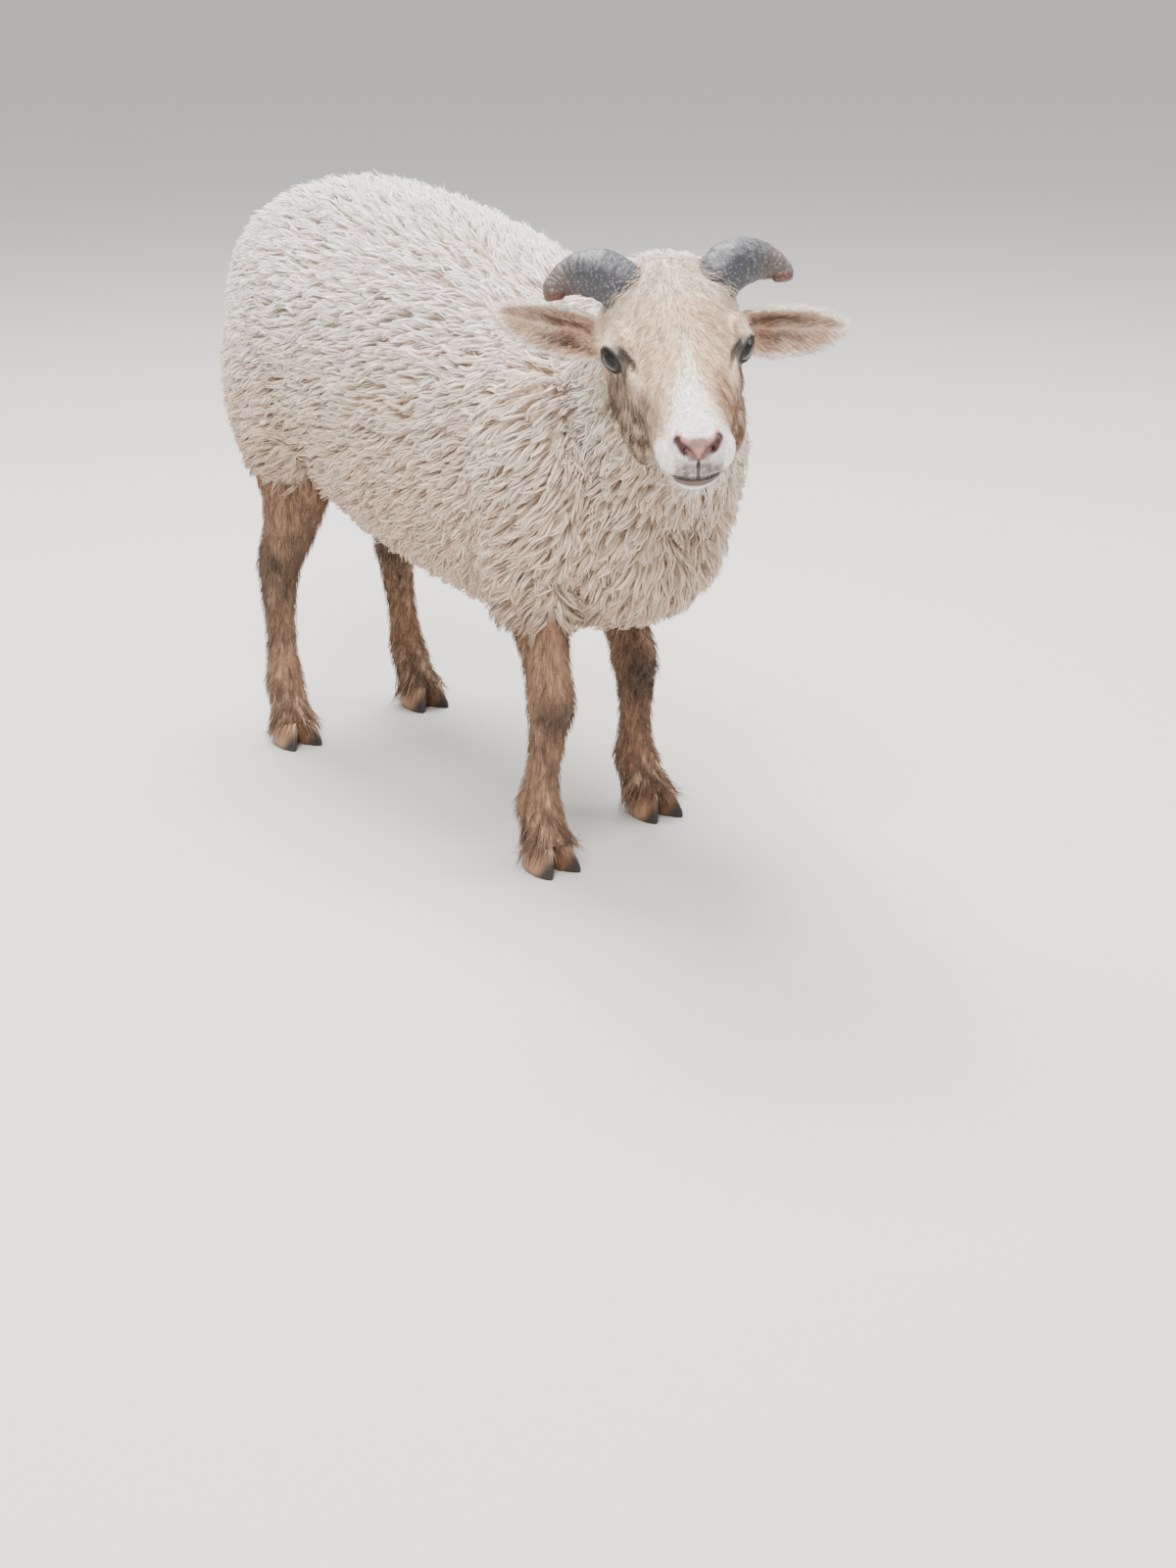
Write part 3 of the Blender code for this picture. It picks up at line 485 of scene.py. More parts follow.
def set_points(obj, points):
    obj.data.vertices.foreach_set("co", points.reshape(-1))
    obj.data.update()


def smooth_between(rows, share):
    """The row at a share of the way along the list, on a Catmull-Rom curve through the rows."""
    place = share * (len(rows) - 1)
    index = min(int(place), len(rows) - 2)
    t = place - index
    before = rows[max(index - 1, 0)]
    first, second = rows[index], rows[index + 1]
    after = rows[min(index + 2, len(rows) - 1)]
    made = []
    for a, b, c, d in zip(before, first, second, after):
        made.append(
            b + 0.5 * t * (c - a + t * (2 * a - 5 * b + 4 * c - d + t * (3 * (b - c) + d - a)))
        )
    return made


def rounded(angle, power):
    """A point of a unit superellipse, as (across, up)."""
    c, s = math.cos(angle), math.sin(angle)
    return math.copysign(abs(c) ** power, c), math.copysign(abs(s) ** power, s)


def loft(name, rings):
    """A closed body through rings of equally many points, with flat fans over both ends."""
    sides = len(rings[0])
    points = [point for ring in rings for point in ring]
    faces = []
    for k in range(len(rings) - 1):
        for i in range(sides):
            j = (i + 1) % sides
            faces.append((k * sides + i, k * sides + j, (k + 1) * sides + j, (k + 1) * sides + i))
    for k in (0, len(rings) - 1):
        points.append(sum((Vector(point) for point in rings[k]), Vector()) / sides)
        for i in range(sides):
            faces.append((k * sides + i, k * sides + (i + 1) % sides, len(points) - 1))
    return face_outward(mesh_object(name, points, faces))


def sweep(name, path, sizes, sides, across, power=1.0):
    """A closed tube along a path. sizes are half widths (across, and square to it)."""
    rings = []
    for i, centre in enumerate(path):
        way = (path[min(i + 1, len(path) - 1)] - path[max(i - 1, 0)]).normalized()
        side = (across - way * across.dot(way)).normalized()
        front = way.cross(side)
        wide, deep = sizes[i]
        ring = []
        for k in range(sides):
            a, b = rounded(math.tau * k / sides, power)
            ring.append(centre + side * a * wide + front * b * deep)
        rings.append(ring)
    return loft(name, rings)


def ellipsoid(name, centre, half_sizes, turn=None):
    """A ball set by the primitive and squeezed to three half sizes (left, ahead, up)."""
    bpy.ops.object.select_all(action="DESELECT")
    bpy.ops.mesh.primitive_uv_sphere_add(segments=32, ring_count=16, radius=1)
    obj = bpy.context.object
    obj.name = name
    turn = turn.to_4x4() if turn else Matrix.Identity(4)
    obj.data.transform(Matrix.Translation(centre) @ turn @ Matrix.Diagonal((*half_sizes, 1)))
    return obj


def both_sides(name, mass, place, less=0.0):
    """A mass and its mirror image, made smaller by less all round."""
    left, ahead, up, *half = mass
    half = [size - less for size in half]
    turn = HEAD_PLACE.to_3x3() if place is on_head else None
    return [
        ellipsoid(name, place(sign * left, ahead, up), half, turn)
        for sign in ((1, -1) if left else (1,))
    ]


def outline_rings(rows, place, count, sides, inset, power):
    rings = []
    for k in range(count + 1):
        ahead, top, bottom, wide = smooth_between(rows, k / count)
        middle, deep = (top + bottom) / 2, (top - bottom) / 2
        wide, deep = max(wide - inset, 0.004), max(deep - inset, 0.004)
        ring = []
        for i in range(sides):
            a, b = rounded(math.tau * i / sides, power)
            ring.append(place(wide * a, ahead, middle + deep * b))
        rings.append(ring)
    return rings


def tube_along(rows, count, inset):
    """The path of a tube through rows like the tail's, and its half sizes less an inset."""
    path, sizes = [], []
    for k in range(count + 1):
        left, ahead, up, wide, deep = smooth_between(rows, k / count)
        path.append(on_body(left, ahead, up))
        sizes.append((wide - inset, deep - inset))
    return path, sizes


def leg_path(leg):
    """A leg's path from the trunk down to its claws, and its half sizes along it."""
    name, foot_left, foot_ahead, top_left, lean = leg
    profile = FORELEG if name.startswith("fore") else HINDLEG
    top_up = profile[0][1]
    path, sizes = [], []
    for k in range(LEG_STEPS + 1):
        ahead, up, wide, deep = smooth_between(profile, k / LEG_STEPS)
        share = up / top_up
        left = foot_left + (top_left - foot_left) * share
        path.append(on_body(left, foot_ahead + ahead + lean * share, up))
        sizes.append((wide - HAIR_DEPTH, deep - HAIR_DEPTH))
    return path, sizes


def coronet_plane(leg):
    """The slanted plane where the skin of a foot meets its claws."""
    normal = Matrix.Rotation(CORONET_TILT, 3, "X") @ Vector((0, 0, 1))
    return on_body(leg[1], leg[2], CORONET_UP), normal


def ear_frame(side):
    """The ear's root and its own axes: along it, across it, and out of its cup."""
    root = on_head(side * EAR_ROOT[0], *EAR_ROOT[1:])
    along = head_way(*EAR_DIRECTIONS[side])
    opens = head_way(side * EAR_OPENS[0], *EAR_OPENS[1:])
    opens = (opens - along * opens.dot(along)).normalized()
    return root, along, along.cross(opens), opens


def ear_half_width(share):
    """Half the ear's width at a share of its length."""
    return EAR_HALF_WIDTH * np.sin(math.pi * (0.20 + 0.80 * np.clip(share, 0.0, 0.985))) ** 0.60


def ear_masses(side):
    """A leaf-shaped cup on a short stub."""
    root, along, across, opens = ear_frame(side)
    steps, strips = 30, 14
    points, faces = [], []
    for k in range(steps + 1):
        share = k / steps
        half = float(ear_half_width(share))
        depth = EAR_CUP * (1 - share) ** 0.6 * (0.5 + 0.5 * min(1.0, share * 4))
        for j in range(strips + 1):
            spot = 2 * j / strips - 1
            rise = depth * (spot**2 - 0.6) - 0.010 * share**2
            place = root + along * (0.004 + EAR_LENGTH * share)
            points.append(place + across * spot * half + opens * rise)
    row = strips + 1
    for k in range(steps):
        for j in range(strips):
            i = k * row + j
            faces.append((i, i + 1, i + row + 1, i + row))
    leaf = mesh_object("ear", points, faces)
    apply_modifier(leaf, "SOLIDIFY", thickness=EAR_SKIN, offset=0)
    turn = Matrix((across, along, opens)).transposed()
    stub = ellipsoid("stub", root + along * 0.003, EAR_STUB, turn)
    return [face_outward(leaf), stub]


def skin_masses():
    """Overlapping closed forms that melt into one skin, each as far in as its coat is deep."""
    inner = [list(row) for row in TORSO]
    inner[0][0] -= WOOL_DEPTH
    inner[-1][0] += WOOL_DEPTH
    masses = [loft("trunk", outline_rings(inner, on_body, 40, 48, WOOL_DEPTH, 0.92))]
    for mass in (SHOULDER, THIGH, STIFLE, BREAST):
        masses += both_sides("mass", mass, on_body, 0.4 * WOOL_DEPTH)
    path, sizes = tube_along(NECK, 16, WOOL_DEPTH)
    path.append(path[-1] + (path[-1] - path[-2]).normalized() * NECK_INTO_HEAD)
    sizes.append(sizes[-1])
    masses.append(sweep("neck", path, sizes, 32, SIDEWAYS))
    masses.append(loft("skull", outline_rings(HEAD, on_head, 60, 48, HAIR_DEPTH, 0.88)))
    for mass in (BROW, CHEEK, JAW, UPPER_LIP, NOSTRIL_WING, CHIN, POLL, TEMPLE):
        masses += both_sides("mass", mass, on_head, HAIR_DEPTH)
    for path, sizes in LEG_TUBES:
        path = path + [path[-1] - Vector((0, 0, LEG_INTO_CLAWS))]
        masses.append(sweep("leg", path, sizes + [sizes[-1]], 32, SIDEWAYS))
    masses.append(sweep("tail", *tube_along(TAIL, 12, TAIL_WOOL_DEPTH), 20, SIDEWAYS))
    for side in (1, -1):
        masses += ear_masses(side)
    return masses


def head_coordinates(points):
    """Model places as (left, ahead, up) on the head."""
    back = np.array(HEAD_PLACE.inverted())
    local = points @ back[:3, :3].T + back[:3, 3]
    return np.stack([local[:, 0], -local[:, 1], local[:, 2]], 1)


def ear_coordinates(points, side):
    """Model places as (along, across, out of the cup) of one ear."""
    root, along, across, opens = ear_frame(side)
    away = points - np.array(root)
    return np.stack([away @ np.array(along), away @ np.array(across), away @ np.array(opens)], 1)


def distance_to_path(points, path, sizes):
    """How far each place is outside a tube."""
    best = np.full(len(points), FAR_AWAY)
    for k in range(len(path) - 1):
        a, b = np.array(path[k]), np.array(path[k + 1])
        t = np.clip(((points - a) @ (b - a)) / max((b - a) @ (b - a), 1e-12), 0, 1)
        radius = 0.5 * (sizes[k][0] + sizes[k][1]) * (1 - t)
        radius += 0.5 * (sizes[k + 1][0] + sizes[k + 1][1]) * t
        gap = np.linalg.norm(points - (a + t[:, None] * (b - a)), axis=1) - radius
        best = np.minimum(best, gap)
    return best


LEG_TUBES = [leg_path(leg) for leg in LEGS]


def ear_share(points, side):
    """How far each place belongs to one ear."""
    along, across, opens = ear_coordinates(points, side).T
    close = (np.abs(across) < 0.027) & (np.abs(opens) < 0.026) & (along < EAR_LENGTH + 0.012)
    return step(0.004, 0.010, along) * close


def wool_end(index):
    """The height where the fleece ends on a leg, by the leg's index."""
    return WOOL_ENDS_FORE if index < 2 else WOOL_ENDS_HIND


def regions(points):
    """Shares of leg, ear and face at each place, and the leg's index. The rest is fleece."""
    count = len(points)
    leg_share, leg_index = np.zeros(count), np.zeros(count, dtype=int)
    for index, (path, sizes) in enumerate(LEG_TUBES):
        ends = wool_end(index) + 0.010 * waves(points, 0.05, 40 + index)
        gap = distance_to_path(points, path, sizes)
        mine = (1 - step(0.006, 0.014, gap)) * (1 - step(-0.012, 0.012, points[:, 2] - ends))
        leg_index[mine > leg_share] = index
        leg_share = np.maximum(leg_share, mine)
    left, ahead, up = head_coordinates(points).T
    ear = np.maximum(ear_share(points, 1), ear_share(points, -1))
    wobble = 0.004 * waves(points, 0.03, 50)
    edge = -0.050 - 0.010 * step(0.0, 0.04, up) + wobble
    close = (np.abs(left) < 0.060) & (np.abs(up + 0.010) < 0.075) & (ahead > -0.09)
    face = step(-0.008, 0.008, ahead - edge) * close
    return leg_share, leg_index, ear, np.maximum(face, ear)


def distance_to_line(points, path):
    """For each place, the share of the path that it lies beside and its distance from it."""
    best = np.full(len(points), FAR_AWAY)
    share = np.zeros(len(points))
    for k, (first, second) in enumerate(zip(path, path[1:])):
        a, b = np.array(first), np.array(second)
        t = np.clip(((points - a) @ (b - a)) / ((b - a) @ (b - a)), 0, 1)
        gap = np.linalg.norm(points - (a + t[:, None] * (b - a)), axis=1)
        near = gap < best
        best[near] = gap[near]
        share[near] = (k + t[near]) / (len(path) - 1)
    return share, best


def beside_tear_band(left, ahead, up):
    """For each place on the head, the share of the dark band that it lies beside and its distance."""
    return distance_to_line(np.stack([np.abs(left), ahead, up], 1), TEAR_BAND)


def carve(points, normals, path, width, depth):
    """Presses a groove into the surface along a path."""
    gap = distance_to_line(points, path)[1]
    return points - normals * (depth * np.exp(-((gap / width) ** 2)))[:, None]


def mouth_line():
    """The line between the lips, round the front of the muzzle."""
    line = []
    for k in range(17):
        angle = math.radians(-80 + 160 * k / 16)
        up = -0.0215 - 0.0015 * math.cos(3 * angle)
        line.append(on_head(0.0265 * math.sin(angle), 0.070 + 0.0360 * math.cos(angle), up))
    return line


def nostril_line(side):
    """A nostril's slit, from beside the nose's tip outwards and up."""
    return [on_head(side * left, ahead, up) for left, ahead, up in NOSTRIL]


def cleft_line():
    """The groove from the nose down to the mouth."""
    return [on_head(0, 0.1075 - 0.002 * k, 0.001 - 0.007 * k) for k in range(4)]


def eye_frame(side):
    """The eye's centre, where it looks, and its own ahead and up."""
    centre = on_head(side * EYE[0], EYE[1], EYE[2])
    out = head_way(side * EYE_LOOKS[0], *EYE_LOOKS[1:])
    ahead = head_way(*LIDS_RUN)
    ahead = (ahead - out * ahead.dot(out)).normalized()
    up = out.cross(ahead)
    if up.dot(head_way(0, 0, 1)) < 0:
        up = -up
    return centre, out, ahead, up


def eye_coordinates(points, side):
    """Model places as (outward, ahead, up) from one eye, and their distance from its centre."""
    centre, *axes = (np.array(v) for v in eye_frame(side))
    away = points - centre
    return *(away @ axis for axis in axes), np.linalg.norm(away, axis=1)


def open_lids(points, side):
    """Draws the skin back inside the eyeball within the lids, and lays the lids over it round that."""
    centre = np.array(eye_frame(side)[0])
    outward, forth, high, radius = eye_coordinates(points, side)
    near = (outward > -0.004) & (radius < 0.030)
    length = np.where(forth > 0, LID_HALF_LENGTH * LID_AHEAD, LID_HALF_LENGTH * LID_BEHIND)
    slant = high + LID_SLANT * forth
    inside = np.sqrt((forth / length) ** 2 + (slant / LID_HALF_HEIGHT) ** 2)
    lid = EYE_RADIUS + LID_RISE + UPPER_LID_RISE * (high > 0)
    over = lid + (radius - lid) * step(1.25, 2.3, inside)
    covered = np.maximum(over, EYE_RADIUS + LID_CLEAR)
    target = np.where(inside < 1.0, EYE_RADIUS - LID_DRAWN_BACK, covered)
    moved = centre + unit(points - centre) * target[:, None]
    return np.where(near[:, None] & (inside < 2.3)[:, None], moved, points)


def refine(obj, chosen):
    """Splits the faces whose points are all chosen into four."""
    bm = bmesh.new()
    bm.from_mesh(obj.data)
    bm.verts.ensure_lookup_table()
    edges = set()
    for face in bm.faces:
        if all(chosen[vert.index] for vert in face.verts):
            edges.update(face.edges)
    bmesh.ops.subdivide_edges(bm, edges=list(edges), cuts=1, use_grid_fill=True)
    bm.to_mesh(obj.data)
    bm.free()


def soften(obj, weights, rounds):
    """Smooths the mesh as far as the weights say."""
    weigh(obj, weights)
    apply_modifier(obj, "SMOOTH", factor=0.5, iterations=rounds, vertex_group="share")
    obj.vertex_groups.clear()


def crease_ear(points, side):
    """Raises the lengthwise folds inside one ear."""
    along, across, opens = ear_coordinates(points, side).T
    inside = step(-0.006, 0.0, opens - 0.25 * np.abs(across)) * step(0.008, 0.03, along)
    inside *= (along < 0.075) * (np.abs(across) < 0.017) * (np.abs(opens) < 0.02)
    fold = EAR_CREASE * np.sin(across / EAR_CREASE_SPACING) * inside * (1 - step(0.04, 0.072, along))
    return points + np.array(ear_frame(side)[3]) * fold[:, None]


def end_at_claws(points):
    """Lifts the skin of each foot that reaches below the slanted edge of its claws, in place."""
    for leg_row in LEGS:
        place, normal = (np.array(v) for v in coronet_plane(leg_row))
        near = np.linalg.norm(points[:, :2] - place[:2], axis=1) < 0.035
        floor = place[2] - ((points[:, :2] - place[:2]) @ normal[:2]) / normal[2]
        low = near & (points[:, 2] < floor)
        points[low, 2] = floor[low]


def weigh(obj, weights):
    """Gives the points of an object their weights, as its only vertex group."""
    group = obj.vertex_groups.new(name="share")
    for index in np.nonzero(weights > 0.02)[0]:
        group.add([int(index)], float(weights[index]), "REPLACE")


def thin_hidden(skin, limit):
    """Takes triangles away where wool or leg hair hides the skin, down to a limit."""
    count = sum(len(face.vertices) - 2 for face in skin.data.polygons)
    if count <= limit:
        return
    leg, _, _, face = regions(points_of(skin))
    weigh(skin, np.maximum((1 - np.maximum(leg, face)) ** 2, 0.30 * leg))
    apply_modifier(skin, "DECIMATE", ratio=limit / count, vertex_group="share", vertex_group_factor=1.0)
    skin.vertex_groups.clear()


def near_eye(points):
    """The distance of each place from the nearer eye's centre."""
    return np.minimum(eye_coordinates(points, 1)[3], eye_coordinates(points, -1)[3])


def join(objects, name):
    """Makes one object of several."""
    bpy.ops.object.select_all(action="DESELECT")
    for obj in objects:
        obj.select_set(True)
    bpy.context.view_layer.objects.active = objects[0]
    bpy.ops.object.join()
    joined = bpy.context.object
    joined.name = name
    return joined


def finish(obj, material):
    """Gives a piece its material and smooth shading."""
    obj.data.materials.append(material)
    activate(obj)
    bpy.ops.object.shade_smooth()
    return obj


def refine_face(skin):
    """Splits the faces of muzzle, nose and lids, and rounds what was split."""
    points = points_of(skin)
    left, ahead, up = head_coordinates(points).T
    close = (np.abs(left) < 0.06) & (up > -0.06) & (up < 0.05)
    refine(skin, (close & (ahead > 0.074)) | (near_eye(points) < 0.022))
    left, ahead, up = head_coordinates(points_of(skin)).T
    soften(skin, ((np.abs(left) < 0.06) & (ahead > 0.05)).astype(float), 2)
    points = points_of(skin)
    left, ahead, up = head_coordinates(points).T
    nose = (np.abs(left) < 0.026) & (ahead > 0.090) & (up > -0.030) & (up < 0.018)
    refine(skin, nose | (near_eye(points) < 0.019))
    soften(skin, (near_eye(points_of(skin)) < 0.022).astype(float), 2)


def make_skin():
    """One closed skin from nose to tail and down to the claws."""
    skin = join(skin_masses(), "skin")
    apply_modifier(skin, "REMESH", mode="VOXEL", voxel_size=SKIN_VOXEL)
    leg, _, ear, face = regions(points_of(skin))
    soften(skin, 1 - 0.80 * ear, SKIN_ROUNDS)
    soften(skin, 1 - np.maximum(leg, face), HIDDEN_ROUNDS)
    thin_hidden(skin, COARSE_SHARE * SKIN_LIMIT)
    refine_face(skin)

    points, normals = points_of(skin), normals_of(skin)
    for side in (1, -1):
        points = carve(points, normals, nostril_line(side), *NOSTRIL_GROOVE)
        trough = [on_head(side * left, ahead, up) for left, ahead, up in TEAR_BAND]
        points = carve(points, normals, trough, *TEAR_GROOVE)
    points = carve(points, normals, mouth_line(), *MOUTH_GROOVE)
    points = carve(points, normals, cleft_line(), *CLEFT_GROOVE)
    for side in (1, -1):
        points = crease_ear(open_lids(points, side), side)
    end_at_claws(points)
    set_points(skin, points)
    thin_hidden(skin, SKIN_LIMIT)
    activate(skin)
    bpy.ops.object.shade_smooth()
    return skin


def evenly(colour, count):
    """Rows of one colour, as light."""
    return np.tile(linear(colour), (count, 1))


def mix(colours, colour, share):
    """Blends each row of colours towards one colour."""
    return colours + (linear(colour) - colours) * share[:, None]


def wool_marking(points, patch, fine):
    """The fleece: white above and tan below, its own tone with painted light on top and painted shade
    underneath, and brown painted shade where it ends on the legs.
    """
    height = points[:, 2]
    wool = evenly(WOOL_MID, len(points))
    # Whiter up on the back and tan low down: the fleece's own tone, with painted light on top and painted
    # shade underneath
    wool = mix(wool, WOOL_TIP, step(0.30, 0.47, height + 0.03 * patch))
    wool = mix(wool, WOOL_TAN, (1 - step(0.20, 0.40, height + 0.03 * patch)) * 0.85)
    wool = mix(wool, WOOL_TAN, 0.30 * step(0.25, 1.0, fine))
    for index, (path, sizes) in enumerate(LEG_TUBES):
        gap = distance_to_path(points, path, sizes)
        above = height - wool_end(index) + 0.012 * fine
        # Painted shade: brown on the fleece round the top of each leg, under the body
        hem = (1 - step(0.012, 0.040, gap)) * (1 - step(0.000, 0.050, above))
        wool = mix(wool, WOOL_HEM_SHADE, 0.80 * hem)
    return wool


def cheek_marking(head, place, fine, specks):
    """Streaked brown cheeks and jaw, rust on the left one, and mottled sides of the nose."""
    left, ahead, up = place
    side = np.abs(left)
    back_edge = -0.012 - 0.9 * np.maximum(-up - 0.014, 0)
    cheek = step(-0.010, 0.020, ahead - back_edge) * (1 - step(0.058, 0.080, ahead))
    cheek *= step(0.010, 0.026, side) * (1 - step(-0.006, 0.012, up + 0.16 * ahead))
    streaks = 0.46 + 0.52 * step(-0.6, 0.5, specks + 0.8 * fine)
    jaw = step(0.036, 0.052, -up - 0.10 * np.abs(ahead - 0.02)) * cheek
    head = mix(head, CHEEK_BROWN, np.maximum(cheek * streaks, 0.85 * jaw))
    head = mix(head, CHEEK_RUST, 0.75 * cheek * step(0.0, 0.01, left) * step(-0.4, 0.6, fine + specks))
    bridge = step(0.034, 0.050, ahead) * (1 - step(0.070, 0.086, ahead)) * step(-0.02, -0.005, up)
    mottled = bridge * (0.35 + 0.65 * step(-0.9, 0.6, fine + 0.5 * specks))
    head = mix(head, CHEEK_RUST, 0.90 * mottled * step(0.011, 0.023, left))
    return mix(head, CHEEK_BROWN, 0.72 * mottled * step(0.017, 0.028, -left))


def blaze_marking(head, place, fine, specks):
    """The white stripe down the nose, and the white muzzle."""
    left, ahead, up = place
    side = np.abs(left)
    width = 0.0028 + 0.0055 * step(0.030, 0.080, ahead)
    ragged = side + 0.0022 * specks + 0.0012 * fine
    blaze = (1 - step(width * 0.2, width * 2.5, ragged)) * step(-0.004, 0.078, ahead + 0.006 * specks)
    blaze *= step(0.0, 0.012, up)
    head = mix(head, BLAZE, 0.95 * blaze)
    muzzle = step(0.076, 0.090, ahead + 0.45 * np.maximum(0.002 - up, 0) - 0.12 * side + 0.004 * fine)
    return mix(head, BLAZE, 0.95 * muzzle)


def eye_marking(head, points):
    """Dark skin on and before the lids, paler above them."""
    for sign in (1, -1):
        outward, forth, high, radius = eye_coordinates(points, sign)
        near = (outward > -0.002) * (radius < 0.05)
        length, height = LID_HALF_LENGTH * 1.22, LID_HALF_HEIGHT * 1.28
        ring = np.sqrt((forth / length) ** 2 + ((high + LID_SLANT * forth) / height) ** 2)
        head = mix(head, BLAZE, 0.22 * near * (1 - step(1.2, 1.9, ring)) * (high > 0))
        corner = step(0.0015, 0.0055, forth) * step(-0.0065, -0.0015, high)
        head = mix(head, DARK, 0.86 * near * corner * (1 - step(1.6, 2.2, ring)))
        head = mix(head, DARK, near * (1 - step(0.84, 1.05, ring)))
    return head


def nose_marking(head, points, place, specks):
    """The pink nose, the grey upper lip, the brown lower lip, and painted shade along the mouth's line and in
    the cleft.
    """
    left, ahead, up = place
    side = np.abs(left)
    nose = nose_share(points)
    head = mix(head, NOSE_PINK, nose)
    between = nose * (1 - step(0.0030, 0.0060, side - 0.25 * np.maximum(up, 0)))
    head = mix(head, NOSE_GREY, 0.75 * between * step(0.000, 0.006, up))
    mouth = step(0.084, 0.092, ahead) * (1 - step(0.0142, 0.0185, side))
    lower_lip = mouth * step(-0.0330, -0.0295, up) * (1 - step(-0.0235, -0.0220, up))
    head = mix(head, LIP_BROWN, 0.95 * lower_lip)
    grey = mouth * step(-0.0235, -0.0215, up) * (1 - step(-0.013, -0.003, up - 0.25 * side))
    head = mix(head, NOSE_GREY, 0.95 * grey * (0.70 + 0.30 * step(-0.5, 0.5, specks)))
    # Painted shade along the line between the lips
    gap = distance_to_line(points, mouth_line())[1]
    head = mix(head, DARK, 0.80 * (1 - step(0.0020, 0.0042, gap)) * step(0.080, 0.088, ahead))
    # Painted shade in the cleft from the nose to the mouth
    cleft = step(0.098, 0.102, ahead) * (1 - step(0.0007, 0.0019, side)) * (up < -0.004) * (up > -0.024)
    return mix(head, DARK, 0.85 * cleft)


def head_marking(points, fine, specks):
    """The bare face: tan, with brown cheeks, a dark band from each eye, a white blaze and the nose."""
    place = left, ahead, up = head_coordinates(points).T
    head = evenly(FACE, len(points))
    head = mix(head, CHEEK_BROWN, 0.24 * step(-0.2, 0.9, fine) * step(0.016, 0.040, np.abs(left)))
    head = mix(head, CHEEK_BROWN, 0.14 * step(0.0, 1.0, specks))
    head = mix(head, BLAZE, 0.30 * (1 - step(-0.030, 0.0, ahead)) * step(0.0, 0.02, up))
    head = cheek_marking(head, place, fine, specks)
    along, gap = beside_tear_band(*place)
    half = 0.0062 - 0.0044 * along
    head = mix(head, DARK, 0.90 * (1 - step(0.70 * half, 1.20 * half, gap + 0.0007 * specks)))
    head = blaze_marking(head, place, fine, specks)
    head = eye_marking(head, points)
    return nose_marking(head, points, place, specks)


def ear_marking(points, normals, fine, specks):
    """The ears: tan behind, rosy within, browner by the root and in two folds, with a pale rim."""
    inner, rim, fold = np.zeros((3, len(points)))
    near_root = np.ones(len(points))
    for sign in (1, -1):
        along, across, _ = ear_coordinates(points, sign).T
        mine = ear_share(points, sign)
        near_root = np.where(mine > 0.5, step(0.012, 0.052, along + 0.012 * fine), near_root)
        facing = normals @ np.array(ear_frame(sign)[3])
        inner = np.maximum(inner, mine * step(-0.1, 0.35, facing))
        half = np.maximum(ear_half_width(along / EAR_LENGTH), 0.003)
        rim = np.maximum(rim, mine * step(0.72, 1.0, np.abs(across) / half))
        rim = np.maximum(rim, mine * step(0.074, 0.090, along))
        spot = across / half
        for middle, wide in ((-0.40, 0.20), (0.28, 0.22)):
            band = np.exp(-(((spot - middle + 0.10 * fine) / wide) ** 2))
            fold = np.maximum(fold, mine * band * (1 - step(0.042, 0.068, along + 0.006 * specks)))
    ears = mix(evenly(EAR_BACK, len(points)), EAR_INSIDE, inner * (1 - 0.3 * step(0, 1, fine)))
    ears = mix(ears, EAR_ROOT_BROWN, 0.60 * inner * (1 - near_root))
    ears = mix(ears, EAR_FOLD, 0.85 * fold * inner * (0.7 + 0.3 * step(-0.6, 0.6, specks)))
    return mix(ears, EAR_RIM, rim)


def leg_marking(points, normals, leg_index, patch, fine, specks):
    """The legs: brown with lengthwise streaks, blackish on knees, hocks and pasterns."""
    height = points[:, 2]
    drawn_out = points * np.array([1.0, 1.0, 0.22])
    streak = waves(drawn_out, 0.007, 8) + 0.6 * waves(drawn_out, 0.003, 9)
    legs = evenly(LEG_TAN, len(points))
    uneven = step(-0.5, 0.8, patch + 0.4 * fine + 0.5 * streak)
    legs = mix(legs, LEG_DARK, 0.75 * uneven * step(0.05, 0.10, height))
    legs = mix(legs, LEG_BLACK, 0.50 * step(0.35, 1.3, streak + 0.3 * fine))
    legs = mix(legs, PASTERN, 0.30 * step(0.35, 1.3, 0.3 * fine - streak))
    front = step(-0.2, 0.7, -normals[:, 1])
    knee = np.exp(-(((height - KNEE_UP) / 0.020) ** 2)) * (leg_index < 2) * front
    hock = np.exp(-(((height - HOCK_UP) / 0.030) ** 2)) * (leg_index > 1) * 0.6
    legs = mix(legs, LEG_BLACK, 0.75 * np.maximum(knee, hock))
    low = 1 - step(0.030, 0.085, height + 0.012 * fine)
    legs = mix(legs, LEG_BLACK, 0.60 * low * step(-0.8, 0.4, specks + 0.5 * streak))
    return mix(legs, PASTERN, 0.75 * low * step(0.35, 1.0, 0.6 * fine - streak - 0.3 * specks))


def marking(points, normals):
    """The colour of skin and hair at each place, as light, before the hair's own small differences."""
    leg, leg_index, ear, face = regions(points)
    patch, fine, specks = (waves(points, size, seed) for size, seed in MARKING_WAVES)
    colours = wool_marking(points, patch, fine)
    colours = colours + (head_marking(points, fine, specks) - colours) * face[:, None]
    colours = colours + (ear_marking(points, normals, fine, specks) - colours) * ear[:, None]
    legs = leg_marking(points, normals, leg_index, patch, fine, specks)
    return colours + (legs - colours) * leg[:, None]


def nose_share(points):
    """How far each place belongs to the bare V-shaped nose."""
    left, ahead, up = head_coordinates(points).T
    side = np.abs(left)
    top = 0.0100 + 0.0030 * step(0.004, 0.012, side)
    bottom = -0.0085 + 1.10 * side
    inside = step(-0.0008, 0.0012, top - up) * step(-0.0010, 0.0010, up - bottom)
    return inside * step(0.088, 0.094, ahead) * (1 - step(0.0138, 0.0165, side))


